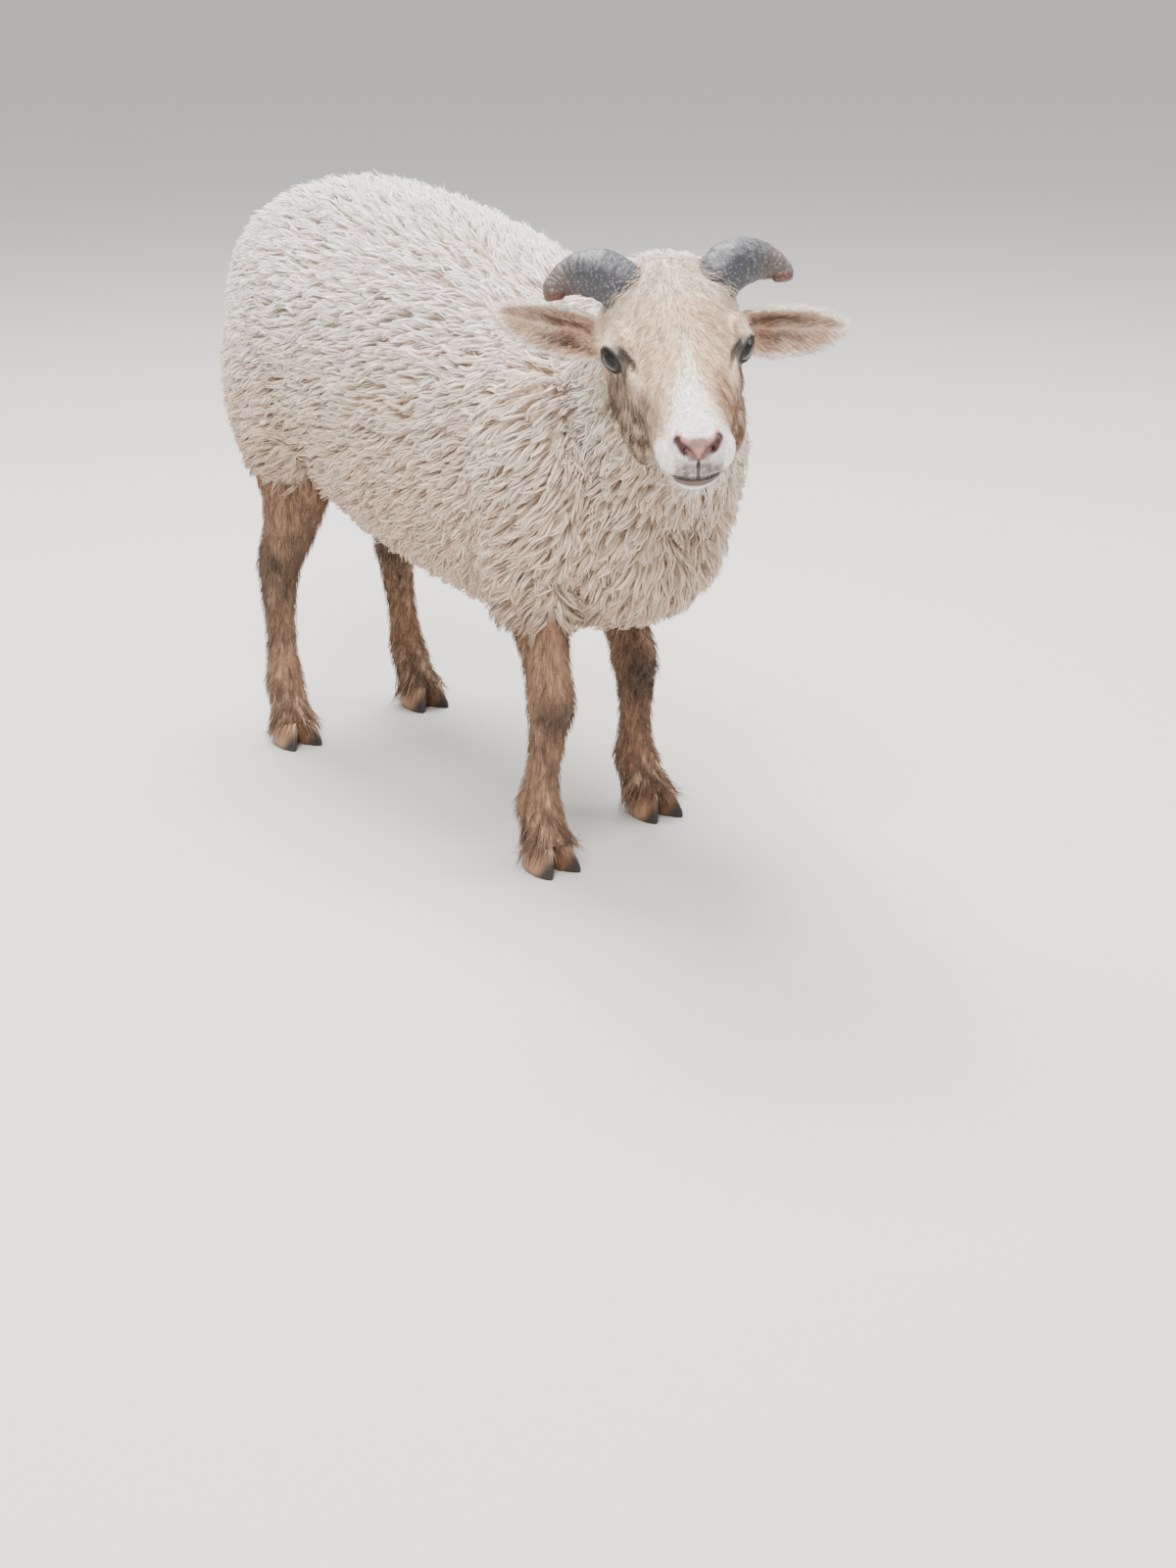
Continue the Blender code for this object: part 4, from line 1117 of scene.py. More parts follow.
def colour_attribute(mesh, colours):
    """Stores a colour for each point of a mesh, for its material to read."""
    attribute = mesh.attributes.new("tone", "FLOAT_COLOR", "POINT")
    full = np.ones((len(colours), 4), dtype=np.float32)
    full[:, :3] = colours
    attribute.data.foreach_set("color", full.reshape(-1))


def unwrap(points, normals):
    """A place on a flat map of the skin for each point: each part is unrolled round its own axis."""
    leg, leg_index, _, face = regions(points)
    body = points - np.array(on_body(0, 0, 0.34))
    turn = np.arctan2(body[:, 0], body[:, 2]) / math.tau + 0.5
    nose_end, tail_end = on_body(0, 0.20, 0).y, on_body(0, -0.50, 0).y
    length = (points[:, 1] - nose_end) / (tail_end - nose_end)
    x, y, w, h = TILES["trunk"]
    uv = np.stack([x + w * turn, y + h * np.clip(length, 0, 1)], 1)
    left, ahead, up = head_coordinates(points).T
    x, y, w, h = TILES["head"]
    turn = np.arctan2(left, up + 0.012) / math.tau + 0.5
    on_face = np.stack([x + w * turn, y + h * np.clip((ahead + 0.09) / 0.20, 0, 1)], 1)
    uv = np.where((face > 0.5)[:, None], on_face, uv)
    x, y, w, h = TILES["ears"]
    for index, side in enumerate((1, -1)):
        along, across, opens = ear_coordinates(points, side).T
        mine = (along > 0.004) & (np.abs(across) < 0.026) & (np.abs(opens) < 0.024)
        facing = (normals @ np.array(ear_frame(side)[3])) > 0
        spot_x = x + w * (0.5 * index + 0.24 * facing + 0.21 * (across + 0.022) / 0.044)
        on_ear = np.stack([spot_x, y + h * np.clip(along / 0.10, 0, 1)], 1)
        uv = np.where(mine[:, None], on_ear, uv)
    x, y, w, h = TILES["leg"]
    for index, (path, _) in enumerate(LEG_TUBES):
        rising = np.array(path)[::-1]
        axis_x = np.interp(points[:, 2], rising[:, 2], rising[:, 0])
        axis_y = np.interp(points[:, 2], rising[:, 2], rising[:, 1])
        turn = np.arctan2(points[:, 0] - axis_x, points[:, 1] - axis_y) / math.tau + 0.5
        on_leg = np.stack([x + w * turn, y + 0.245 * index + h * points[:, 2] / 0.31], 1)
        uv = np.where(((leg > 0.5) & (leg_index == index))[:, None], on_leg, uv)
    return uv


class Surface:
    """The skin's triangles, for placing roots on them."""

    def __init__(self, obj):
        mesh = obj.data
        mesh.calc_loop_triangles()
        corners = np.empty(len(mesh.loop_triangles) * 3, dtype=np.int32)
        mesh.loop_triangles.foreach_get("vertices", corners)
        self.corners = corners.reshape(-1, 3)
        self.points = points_of(obj)
        self.normals = normals_of(obj)
        a, b, c = (self.points[self.corners[:, i]] for i in range(3))
        self.tree = BVHTree.FromPolygons(self.points.tolist(), self.corners.tolist())
        self.areas = 0.5 * np.linalg.norm(np.cross(b - a, c - a), axis=1)
        self.middles = (a + b + c) / 3

    def nearest(self, places):
        """The nearest places on the skin, with the skin's smooth normals there."""
        found = [self.tree.find_nearest(place) for place in places.tolist()]
        spots = np.array([item[0] for item in found])
        triangles = self.corners[[item[2] for item in found]]
        return spots, unit(self.normals[triangles].sum(axis=1))

    def scatter(self, weights, density):
        """Random places and normals, so many to the square metre where the weight is 1."""
        shares = self.areas * weights
        count = int(density * shares.sum())
        picked = RNG.choice(len(shares), size=count, p=shares / shares.sum())
        spread = RNG.random((count, 2))
        flip = spread.sum(axis=1) > 1
        spread[flip] = 1 - spread[flip]
        mix3 = np.stack([1 - spread.sum(axis=1), spread[:, 0], spread[:, 1]], 1)
        corners = self.corners[picked]
        places = (self.points[corners] * mix3[:, :, None]).sum(axis=1)
        normals = unit((self.normals[corners] * mix3[:, :, None]).sum(axis=1))
        return places, normals


def thin_out(places, spacing):
    """Indices of places that keep a distance from each other."""
    cells, kept = {}, []
    keys = np.floor(places / spacing).astype(int)
    for index, (place, key) in enumerate(zip(places, keys)):
        i, j, k = (int(value) for value in key)
        near = False
        for di in (-1, 0, 1):
            for dj in (-1, 0, 1):
                for dk in (-1, 0, 1):
                    for other in cells.get((i + di, j + dj, k + dk), ()):
                        gap = places[other] - place
                        if gap @ gap < spacing * spacing:
                            near = True
                            break
        if not near:
            cells.setdefault((i, j, k), []).append(index)
            kept.append(index)
    return np.array(kept)


def strand_mesh(name, section, centres, across, out, half_wide, half_thick, tones, uv, material):
    """Many closed tapering strands of one cross-section. centres is (strands, rings + tip, 3)."""
    count, rows, _ = centres.shape
    rings, sides = rows - 1, len(section)
    section = np.array(section)
    body = (
        centres[:, :rings, None, :]
        + across[:, :rings, None, :] * (half_wide[:, :rings, None] * section[:, 0])[..., None]
        + out[:, :rings, None, :] * (half_thick[:, :rings, None] * section[:, 1])[..., None]
    )
    per = rings * sides + 1
    points = np.concatenate([body.reshape(count, rings * sides, 3), centres[:, rings:, :]], axis=1)
    quads = [
        (k * sides + i, k * sides + (i + 1) % sides, (k + 1) * sides + (i + 1) % sides, (k + 1) * sides + i)
        for k in range(rings - 1)
        for i in range(sides)
    ]
    last = (rings - 1) * sides
    ends = [(last + i, last + (i + 1) % sides, rings * sides) for i in range(sides)]
    ends += [(0, k + 1, k) for k in range(1, sides - 1)]
    quads, ends = np.array(quads), np.array(ends)
    base = (np.arange(count) * per)[:, None, None]
    loops = np.concatenate(
        [(quads[None] + base).reshape(count, -1), (ends[None] + base).reshape(count, -1)], axis=1
    )
    totals = np.tile(np.array([4] * len(quads) + [3] * len(ends)), count)
    starts = np.concatenate([[0], np.cumsum(totals)[:-1]])
    mesh = bpy.data.meshes.new(name)
    mesh.vertices.add(count * per)
    mesh.vertices.foreach_set("co", points.reshape(-1))
    mesh.loops.add(loops.size)
    mesh.loops.foreach_set("vertex_index", loops.reshape(-1).astype(np.int32))
    mesh.polygons.add(len(totals))
    mesh.polygons.foreach_set("loop_start", starts.astype(np.int32))
    mesh.polygons.foreach_set("use_smooth", np.ones(len(totals), dtype=bool))
    mesh.update(calc_edges=True)
    along = np.concatenate([np.repeat(np.arange(rings) / rings, sides), [1.0]])
    around = np.concatenate([np.tile(np.arange(sides) / (sides - 1), rings), [0.5]])
    patch = np.stack([around - 0.5, along - 0.5], 1) * UV_PATCH
    map_points = (uv[:, None, :] + patch[None]).reshape(-1, 2)
    layer = mesh.uv_layers.new(name="OFBake")
    layer.data.foreach_set("uv", map_points[loops.reshape(-1)].astype(np.float32).reshape(-1))
    # Each corner's paleness from the cross-section, painted light and shade, scales the strand's tones
    shade = tones[:, :rings, None, :] * section[None, None, :, 2, None]
    shade = np.concatenate([shade.reshape(count, rings * sides, 3), tones[:, rings:]], axis=1)
    colour_attribute(mesh, shade.reshape(-1, 3))
    mesh.materials.append(material)
    obj = bpy.data.objects.new(name, mesh)
    bpy.context.scene.collection.objects.link(obj)
    return obj


def in_pieces(name, section, arrays, material):
    """Makes as many strands to a piece as keep it under the limit of triangles."""
    count, rows, sides = len(arrays[0]), arrays[0].shape[1], len(section)
    each = (rows - 2) * sides * 2 + sides + (sides - 2)
    pieces = math.ceil(count * each / PIECE_LIMIT)
    made = []
    for k in range(pieces):
        part = slice(k * count // pieces, (k + 1) * count // pieces)
        made.append(strand_mesh(f"{name}_{k + 1}", section, *(array[part] for array in arrays), material))
    return made


def fleece_lie(places, normals):
    """The way the fleece lies: back along the sides, down over the rump, breast and belly's edge."""
    ahead = CENTRE_AHEAD - places[:, 1]
    height = places[:, 2]
    back = np.tile(np.array([0.0, 1.0, -0.30]), (len(places), 1))
    down = np.tile(np.array([0.0, 0.50, -1.0]), (len(places), 1))
    down[:, 0] = 0.35 * normals[:, 0]
    front = step(-0.20, 0.15, ahead - 0.6 * (height - 0.30))
    rump = step(0.30, 0.50, -ahead)
    low = 1 - step(0.20, 0.34, height)
    share = np.clip(front + rump * 0.8 + 0.35 * low, 0, 1)[:, None]
    flow = back * (1 - share) + down * share
    turn = np.stack([waves(places, 0.070, 20 + i) for i in range(3)], 1)
    fine = np.stack([waves(places, 0.022, 30 + i) for i in range(3)], 1)
    flow = unit(flow) + 0.22 * turn + 0.10 * fine
    return unit(flow - normals * (flow * normals).sum(axis=1, keepdims=True))


def resample(values, rows, wanted):
    """Values given at some rows of each lock, read at other rows."""
    made = []
    for place in wanted:
        k = min(int(np.searchsorted(rows, place)), len(rows) - 1) - 1
        share = (place - rows[k]) / (rows[k + 1] - rows[k])
        made.append(values[:, k] * (1 - share) + values[:, k + 1] * share)
    return np.stack(made, 1)


def follow_skin(surface, places, normals, length, veer):
    """Guides of locks: places, normals and ways met by walking over the skin the way the fleece lies.

    veer is how far each lock turns aside at its root and, further, by its tip.
    """
    rows, row_normals, ways = [places], [normals], []
    for k, share in enumerate(LOCK_ROWS):
        lie = fleece_lie(rows[-1], row_normals[-1])
        side = np.cross(row_normals[-1], lie)
        lie = unit(lie + side * (veer[:, 0] + veer[:, 1] * share)[:, None])
        ways.append(lie)
        if share == 1.0:
            break
        stride = length * (LOCK_ROWS[k + 1] - share)
        place, normal = surface.nearest(rows[-1] + lie * stride[:, None])
        rows.append(place)
        row_normals.append(unit(normal + row_normals[-1]))
    return (np.stack(group, 1) for group in (rows, row_normals, ways))


def near_head(places):
    """How close each place on the neck is to the head."""
    left, ahead, up = head_coordinates(places).T
    beside = (1 - step(0.045, 0.090, np.abs(left))) * (1 - step(0.055, 0.105, np.abs(up + 0.010)))
    return beside * step(-0.130, -0.052, ahead)


def coat_depth(places):
    """How high the fleece stands over the skin: its full depth on the body, low by the face and legs."""
    leg, leg_index, ear, face = regions(places)
    edge = 1 - np.maximum(leg, face)
    depth = 0.30 + 0.70 * edge
    rump = step(0.33, 0.45, places[:, 1] - CENTRE_AHEAD)
    return 0.90 * WOOL_DEPTH * depth * (1 - 0.66 * near_head(places)) * (1 - 0.45 * rump)


def lay_tufts(surface, places, normals):
    """The guides of tufts that grow at some places, with the depth that each one reaches."""
    count = len(places)
    ahead = CENTRE_AHEAD - places[:, 1]
    breast = step(-0.04, 0.08, ahead) * (1 - step(0.30, 0.40, places[:, 2]))
    depth = coat_depth(places) * RNG.uniform(0.82, 1.0, count) * (1 + 0.12 * waves(places, 0.028, 7))
    length = TUFT_LENGTH * RNG.uniform(0.85, 1.15, count) * (1 + 0.22 * breast)
    length *= 0.50 + 0.50 * np.clip(depth / (0.8 * WOOL_DEPTH), 0, 1)
    veer = np.stack([RNG.normal(0, 0.18, count), RNG.normal(0, 0.45, count)], 1)
    return *follow_skin(surface, places, normals, length, veer), depth


def uncovered(guide, places):
    """Which places on the skin no tuft passes over."""
    passed = resample(guide, LOCK_ROWS, (0.25, 0.40, 0.55, 0.70, 0.85, 1.0)).reshape(-1, 3)
    tree = KDTree(len(passed))
    for index, place in enumerate(passed.tolist()):
        tree.insert(place, index)
    tree.balance()
    return np.array([tree.find(place)[2] > TUFT_GAP for place in places.tolist()])


def fleece_strands(tufts, each, rows, widths, shades, reach, draw_in, half_wide, lift, flat):
    """Some strands to each tuft, round its guide and drawn in towards it by the tip."""

    def spread(values):
        return np.repeat(values, each, axis=0)

    total = len(tufts["uv"]) * each
    s = np.array(rows)[None, :]
    leaving_root = np.minimum(s * 3, 1)[None]
    line, up, along, beside = (
        spread(resample(tufts[name], LOCK_ROWS, rows)) for name in ("guide", "over", "lie", "aside")
    )
    rise = spread(resample(tufts["rise"], LOCK_ROWS, rows))
    rise = rise * (1 - 0.22 * RNG.random(total) ** 2)[:, None]
    angle = math.tau * RNG.random(total)
    far = reach * np.sqrt(RNG.random(total))
    wander = RNG.normal(0, 0.00030, (3, total, len(rows))) * leaving_root
    offset = (far * np.cos(angle))[:, None] * (1 - draw_in * s**1.3) + wander[0]
    forward = (far * np.sin(angle))[:, None] * (1 - 0.4 * s) + wander[1]
    strays = 1 + 1.2 * (RNG.random(total) < STRAY_SHARE)
    rise = rise + wander[2] + (RNG.normal(lift, 0.0009, total) * strays)[:, None] * s**3
    line = line + beside * offset[..., None] + along * forward[..., None] + up * rise[..., None]
    ways = unit(np.gradient(line, axis=1))
    across = unit(np.cross(up, ways))
    across = unit(across + up * RNG.normal(0, 0.25, total)[:, None, None])
    wide = (RNG.uniform(*half_wide, total) * spread(tufts["fineness"]))[:, None] * np.array(widths)
    # Strands blend from the tuft's root colour, with its painted crease shade, to its tip colour
    shade = np.array(shades)[None, :, None]
    tones = spread(tufts["root"])[:, None, :] * (1 - shade) + spread(tufts["tip"])[:, None, :] * shade
    tones = tones * (1 + RNG.normal(0, 0.030, total))[:, None, None]
    spots = spread(tufts["uv"]) + RNG.uniform(-UV_PATCH / 2, UV_PATCH / 2, (total, 2))
    return line, across, np.cross(ways, across), wide, flat * wide, tones, spots


def plant_tufts(surface):
    """Roots, guides, ways and depths of tufts spread over the fleece, with more where none passes over."""
    leg, _, _, face = regions(surface.middles)
    places, normals = surface.scatter(1 - np.maximum(leg, face), TUFT_TRIES / TUFT_SPACING**2)
    kept = thin_out(places, TUFT_SPACING)
    spare = np.setdiff1d(np.arange(len(places)), kept)
    spare, spare_normals = places[spare], normals[spare]
    places, normals = places[kept], normals[kept]
    first = lay_tufts(surface, places, normals)
    bare = uncovered(first[0], spare)
    spare, spare_normals = spare[bare], spare_normals[bare]
    kept = thin_out(spare, 0.9 * TUFT_SPACING)
    upstream = spare[kept] - 0.4 * TUFT_LENGTH * fleece_lie(spare[kept], spare_normals[kept])
    more, more_normals = surface.nearest(upstream)
    added = lay_tufts(surface, more, more_normals)
    pairs = zip((places, normals, *first), (more, more_normals, *added))
    return (np.concatenate(pair) for pair in pairs)


def make_fleece(surface, material):
    """Small soft tufts: narrow ribbed locks that draw together at the tip, and a few fine wisps."""
    places, normals, guide, over, lie, depth = plant_tufts(surface)
    count = len(places)
    aside = unit(np.cross(over, lie))
    t = np.array(LOCK_ROWS)[None, :]
    swing = RNG.uniform(0.0004, 0.0012, count)[:, None]
    turns = RNG.uniform(0.9, 1.9, count)[:, None]
    angles = math.tau * (turns * t + RNG.uniform(0, 1, count)[:, None])
    start = np.minimum(t * 3, 1)
    guide = guide + aside * (swing * np.sin(angles) * start)[..., None]
    bob = 0.7 * swing * np.cos(angles) * start

    tip = marking(places, normals)
    warm = 1 + RNG.normal(0, 0.020, count)[:, None] * np.array([1.0, 0.0, -1.2])
    tip = tip * (1 + RNG.normal(0, 0.040, count))[:, None] * warm
    # Each tuft turns towards the root colour near its root: a root tint, with painted shade where the roots
    # show in the creases between tufts, more of it low on the body
    root_tint_and_shade = 0.70 + 0.25 * (1 - step(0.32, 0.48, places[:, 2]))
    tufts = {
        "guide": guide,
        "over": over,
        "lie": lie,
        "aside": aside,
        "rise": depth[:, None] * np.array(LOCK_RISE) + bob,
        "fineness": 1 - 0.35 * near_head(places),
        "tip": tip,
        "root": tip + (linear(WOOL_ROOT) - tip) * root_tint_and_shade[:, None],
        "uv": unwrap(places, normals),
    }
    locks, wisps = fleece_strands(tufts, **LOCKS), fleece_strands(tufts, **WISPS)
    made = in_pieces("fleece_lock", LOCK_SECTION, locks, material)
    return made + in_pieces("fleece_wisp", STRAND_SECTION, wisps, material)


def hair_lie(places, normals):
    """The way the short hair lies on head, ears and legs."""
    leg, _, _, _ = regions(places)
    left, ahead, up = head_coordinates(places).T
    side = np.sign(left) * step(0.0, 0.02, np.abs(left))
    none = 0 * left
    local = np.stack([0.85 * side, 0.75 - 0.5 * step(0.02, 0.05, np.abs(left)), 0.12 + none], 1)
    muzzle = step(0.070, 0.090, ahead)[:, None]
    low = step(0.0, 0.03, -up)[:, None]
    local = local * (1 - 0.7 * low) + np.array([0.0, 0.35, -0.8]) * 0.7 * low
    outward = np.stack([1.2 * side, -0.15 + none, -0.9 + none], 1)
    local = local * (1 - muzzle) + outward * muzzle
    local[:, 1] *= -1
    flow = local @ np.array(HEAD_PLACE.to_3x3()).T
    for sign in (1, -1):
        away = places - np.array(eye_frame(sign)[0])
        pull = (1 - step(0.016, 0.026, np.linalg.norm(away, axis=1)))[:, None]
        flow = flow * (1 - pull) + unit(away) * 1.5 * pull
        across = ear_coordinates(places, sign)[:, 1]
        _, down_ear, over_ear, _ = (np.array(axis) for axis in ear_frame(sign))
        ear_flow = down_ear + over_ear * (0.5 * np.sign(across))[:, None]
        flow = np.where((ear_share(places, sign) > 0.5)[:, None], ear_flow, flow)
    flow = np.where((leg > 0.5)[:, None], np.array([0.0, 0.12, -1.0]), flow)
    flow = flow + 0.22 * np.stack([waves(places, 0.012, 60 + i) for i in range(3)], 1)
    flow = flow + RNG.normal(0, 0.10, flow.shape)
    return unit(flow - normals * (flow * normals).sum(axis=1, keepdims=True))


def claw_hem(leg, places):
    """How far each place belongs to the fringe over the claws."""
    return leg * (1 - step(*CLAW_HEM, places[:, 2]))


def make_hair(name, surface, weights, density, lengths, stand, width, material):
    """Short tapering hairs that lie close along the skin."""
    places, normals = surface.scatter(weights, density)
    lie = hair_lie(places, normals)
    total = len(places)
    length = RNG.uniform(*lengths, total)
    left, ahead, up = head_coordinates(places).T
    leg, _, ear, face = regions(places)
    head = face * (1 - ear)
    poll = 0.6 * head * (1 - step(-0.040, -0.010, ahead)) * step(0.010, 0.030, up)
    near_lid = 1 - step(0.014, 0.022, near_eye(places))
    near_lid = np.maximum(near_lid, 1 - step(0.007, 0.012, beside_tear_band(left, ahead, up)[1]))
    hem = claw_hem(leg, places)
    chin = head * step(0.070, 0.085, ahead) * (1 - step(-0.034, -0.026, up))
    length *= 1 - 0.50 * head * step(0.050, 0.085, ahead) * (up > -0.030)
    length *= (1 + 0.5 * poll) * (1 - 0.5 * near_lid) * (1 + 0.15 * ear)
    length *= (1 + 0.7 * hem) * (1 + 0.5 * chin)
    t = np.array([0.0, 0.5, 1.0])[None, :]
    tilt = (stand * RNG.uniform(0.5, 1.5, total) * (1 + 2.2 * poll + 0.5 * hem + chin))[:, None]
    rise = tilt * (1 - (1 - t) ** 2)
    centres = places[:, None, :] + lie[:, None, :] * (length[:, None] * t)[..., None]
    centres = centres + normals[:, None, :] * (length[:, None] * rise - 0.0003)[..., None]
    centres[..., 2] = np.maximum(centres[..., 2], HAIR_LOWEST)
    ways = unit(np.gradient(centres, axis=1))
    across = unit(np.cross(np.broadcast_to(normals[:, None, :], ways.shape), ways))
    profile = np.array([0.9, 0.8, 0.0])
    wide = (width * RNG.uniform(0.7, 1.25, total))[:, None] * profile[None]
    tone = marking(places, normals)
    light = 1.03 + RNG.normal(0, 0.10, total) * (1 + 0.9 * leg)
    shade = 0.90 + 0.14 * t[0]
    tones = tone[:, None, :] * (light[:, None] * shade[None, :])[..., None]
    arrays = (centres, across, np.cross(ways, across), wide, 0.6 * wide, tones, unwrap(places, normals))
    return in_pieces(name, STRAND_SECTION, arrays, material)


def hairless(places):
    """Where the face bears no hair: on the nose, the lips, the cleft and the lids."""
    left, ahead, up = head_coordinates(places).T
    side = np.abs(left)
    lips = (ahead > 0.092) & (side < 0.017) & (up > -0.032) & (up < -0.0190)
    cleft = (ahead > 0.094) & (side < 0.0016) & (up > -0.029) & (up < 0.0)
    bare = np.maximum(nose_share(places), lips | cleft)
    for sign in (1, -1):
        outward, forth, high, radius = eye_coordinates(places, sign)
        ring = np.sqrt((forth / (LID_HALF_LENGTH * 1.25)) ** 2 + (high / (LID_HALF_HEIGHT * 1.3)) ** 2)
        bare = np.maximum(bare, (ring < 1) & (outward > 0) & (radius < 0.03))
    return bare


def shader_of(material):
    return material.node_tree.nodes["Principled BSDF"]


def set_inputs(tree, target, inputs):
    """Sets a node's inputs. Each is a value, or the output of another node that feeds it."""
    for key, value in inputs.items():
        if isinstance(value, bpy.types.NodeSocket):
            tree.links.new(value, target.inputs[key])
        else:
            target.inputs[key].default_value = value


def add_node(tree, kind, inputs=None, **settings):
    """Adds a shader node, with its settings first and then its inputs."""
    made = tree.nodes.new("ShaderNode" + kind)
    for key, value in settings.items():
        setattr(made, key, value)
    set_inputs(tree, made, inputs or {})
    return made


def new_material(name, colour=(0.5, 0.5, 0.5), roughness=0.5, inputs=None):
    """A material with one Principled shader."""
    material = bpy.data.materials.new(name)
    material.use_nodes = True
    values = {"Base Color": (*linear(colour), 1), "Roughness": roughness, **(inputs or {})}
    set_inputs(material.node_tree, shader_of(material), values)
    return material


def add_relief(material, height, strength, distance):
    """Puts bump on a material, from the output that gives its heights."""
    tree = material.node_tree
    bump = add_node(tree, "Bump", {"Strength": strength, "Distance": distance, "Height": height})
    set_inputs(tree, shader_of(material), {"Normal": bump.outputs["Normal"]})


def tone_output(tree):
    """The colour stored on the points of a piece."""
    return add_node(tree, "Attribute", attribute_name="tone").outputs["Color"]


def place_output(tree):
    return add_node(tree, "TexCoord").outputs["Object"]


def new_group(name, takes):
    """A shader group that gives a colour and a height: the group, what it is given, and its end."""
    group = bpy.data.node_groups.new(name, "ShaderNodeTree")
    for way, sockets in (("INPUT", takes), ("OUTPUT", {"Color": "Color", "Height": "Float"})):
        for label, kind in sockets.items():
            group.interface.new_socket(label, in_out=way, socket_type="NodeSocket" + kind)
    return group, group.nodes.new("NodeGroupInput").outputs, group.nodes.new("NodeGroupOutput")


def end_group(group, end, colour, noise, low, high):
    """Shades a group's colour by noise, between two factors, and gives the noise as height."""
    shares = {"From Min": 0.3, "From Max": 0.7, "To Min": low, "To Max": high}
    factor = add_node(group, "MapRange", {"Value": noise.outputs["Fac"], **shares})
    inputs = {0: colour, "Scale": factor.outputs[0]}
    shaded = add_node(group, "VectorMath", inputs, operation="SCALE")
    set_inputs(group, end, {"Color": shaded.outputs[0], "Height": noise.outputs["Fac"]})
    return group


def grain_group():
    """Shared by skin and hair: mottles the marking's colour, and gives fine bump heights."""
    takes = {"Color": "Color", "Size": "Float", "Amount": "Float"}
    group, given, end = new_group("coat_grain", takes)
    inputs = {"Vector": place_output(group), "Scale": given["Size"], "Detail": 3.0}
    noise = add_node(group, "TexNoise", inputs)
    low = add_node(group, "Math", {0: 1.0, 1: given["Amount"]}, operation="SUBTRACT")
    high = add_node(group, "Math", {0: 1.0, 1: given["Amount"]}, operation="ADD")
    return end_group(group, end, given["Color"], noise, low.outputs[0], high.outputs[0])


def fibre_group():
    """Fine lines along each strand, in its colour and its height, read from the strand's own patch of UV."""
    group, given, end = new_group("fibres", {"Spot": "Vector", "Color": "Color"})
    inputs = {0: given["Spot"], 1: FIBRE_LINES}
    stretch = add_node(group, "VectorMath", inputs, operation="MULTIPLY")
    noise = add_node(group, "TexNoise", {"Vector": stretch.outputs[0], "Scale": 1.0, "Detail": 2.0})
    return end_group(group, end, given["Color"], noise, 0.88, 1.08)


def fibrous(material, fibres, bump):
    """Draws the fibres on a coat material: over its colour and in its relief."""
    tree = material.node_tree
    shader = shader_of(material)
    spot = add_node(tree, "UVMap", uv_map="OFBake")
    under = shader.inputs["Base Color"].links[0].from_socket
    inputs = {"Spot": spot.outputs["UV"], "Color": under}
    lines = tree.nodes.new("ShaderNodeGroup")
    lines.node_tree = fibres
    set_inputs(tree, lines, inputs)
    set_inputs(tree, shader, {"Base Color": lines.outputs["Color"]})
    add_relief(material, lines.outputs["Height"], bump, 0.0004)
    return material


def coat_material(name, grain, size, amount, roughness, bump=0.0, inputs=None):
    """Colour from the piece's own marking, mottled by the shared grain."""
    material = new_material(name, roughness=roughness, inputs=inputs)
    tree = material.node_tree
    mottle = tree.nodes.new("ShaderNodeGroup")
    mottle.node_tree = grain
    set_inputs(tree, mottle, {"Color": tone_output(tree), "Size": size, "Amount": amount})
    set_inputs(tree, shader_of(material), {"Base Color": mottle.outputs["Color"]})
    if bump:
        add_relief(material, mottle.outputs["Height"], bump, 0.0006)
    return material


def nose_material(grain):
    """Moist pink skin with a fine pebbled surface."""
    material = coat_material("nose_skin", grain, 260.0, 0.18, 0.36)
    tree = material.node_tree
    cells = add_node(tree, "TexVoronoi", {"Vector": place_output(tree), "Scale": 900.0})
    add_relief(material, cells.outputs["Distance"], 0.35, 0.0004)
    return material


def horn_material():
    """Slate horn with pale flecks, in the tones painted on its points."""
    material = new_material("horn", roughness=0.52)
    tree = material.node_tree
    inputs = {"Vector": place_output(tree), "Scale": 520.0, "Detail": 5.0}
    flecks = add_node(tree, "TexNoise", inputs).outputs["Fac"]
    pale = add_node(tree, "MapRange", {"Value": flecks, "From Min": 0.56, "From Max": 0.80})
    inputs = {"Factor": pale.outputs[0], "A": tone_output(tree), "B": (*linear(HORN_FLECK), 1)}
    blend = add_node(tree, "Mix", inputs, data_type="RGBA")
    set_inputs(tree, shader_of(material), {"Base Color": blend.outputs["Result"]})
    add_relief(material, flecks, 0.5, 0.0006)
    return material


def hoof_material():
    """Claw horn in the tones painted on its points, with fine rings round it."""
    material = new_material("claw_horn", roughness=0.45)
    tree = material.node_tree
    inputs = {"Vector": place_output(tree), "Scale": 90.0, "Distortion": 3.0, "Detail": 2.0}
    rings = add_node(tree, "TexWave", inputs, bands_direction="Z")
    set_inputs(tree, shader_of(material), {"Base Color": tone_output(tree)})
    add_relief(material, rings.outputs["Fac"], 0.25, 0.0004)
    return material


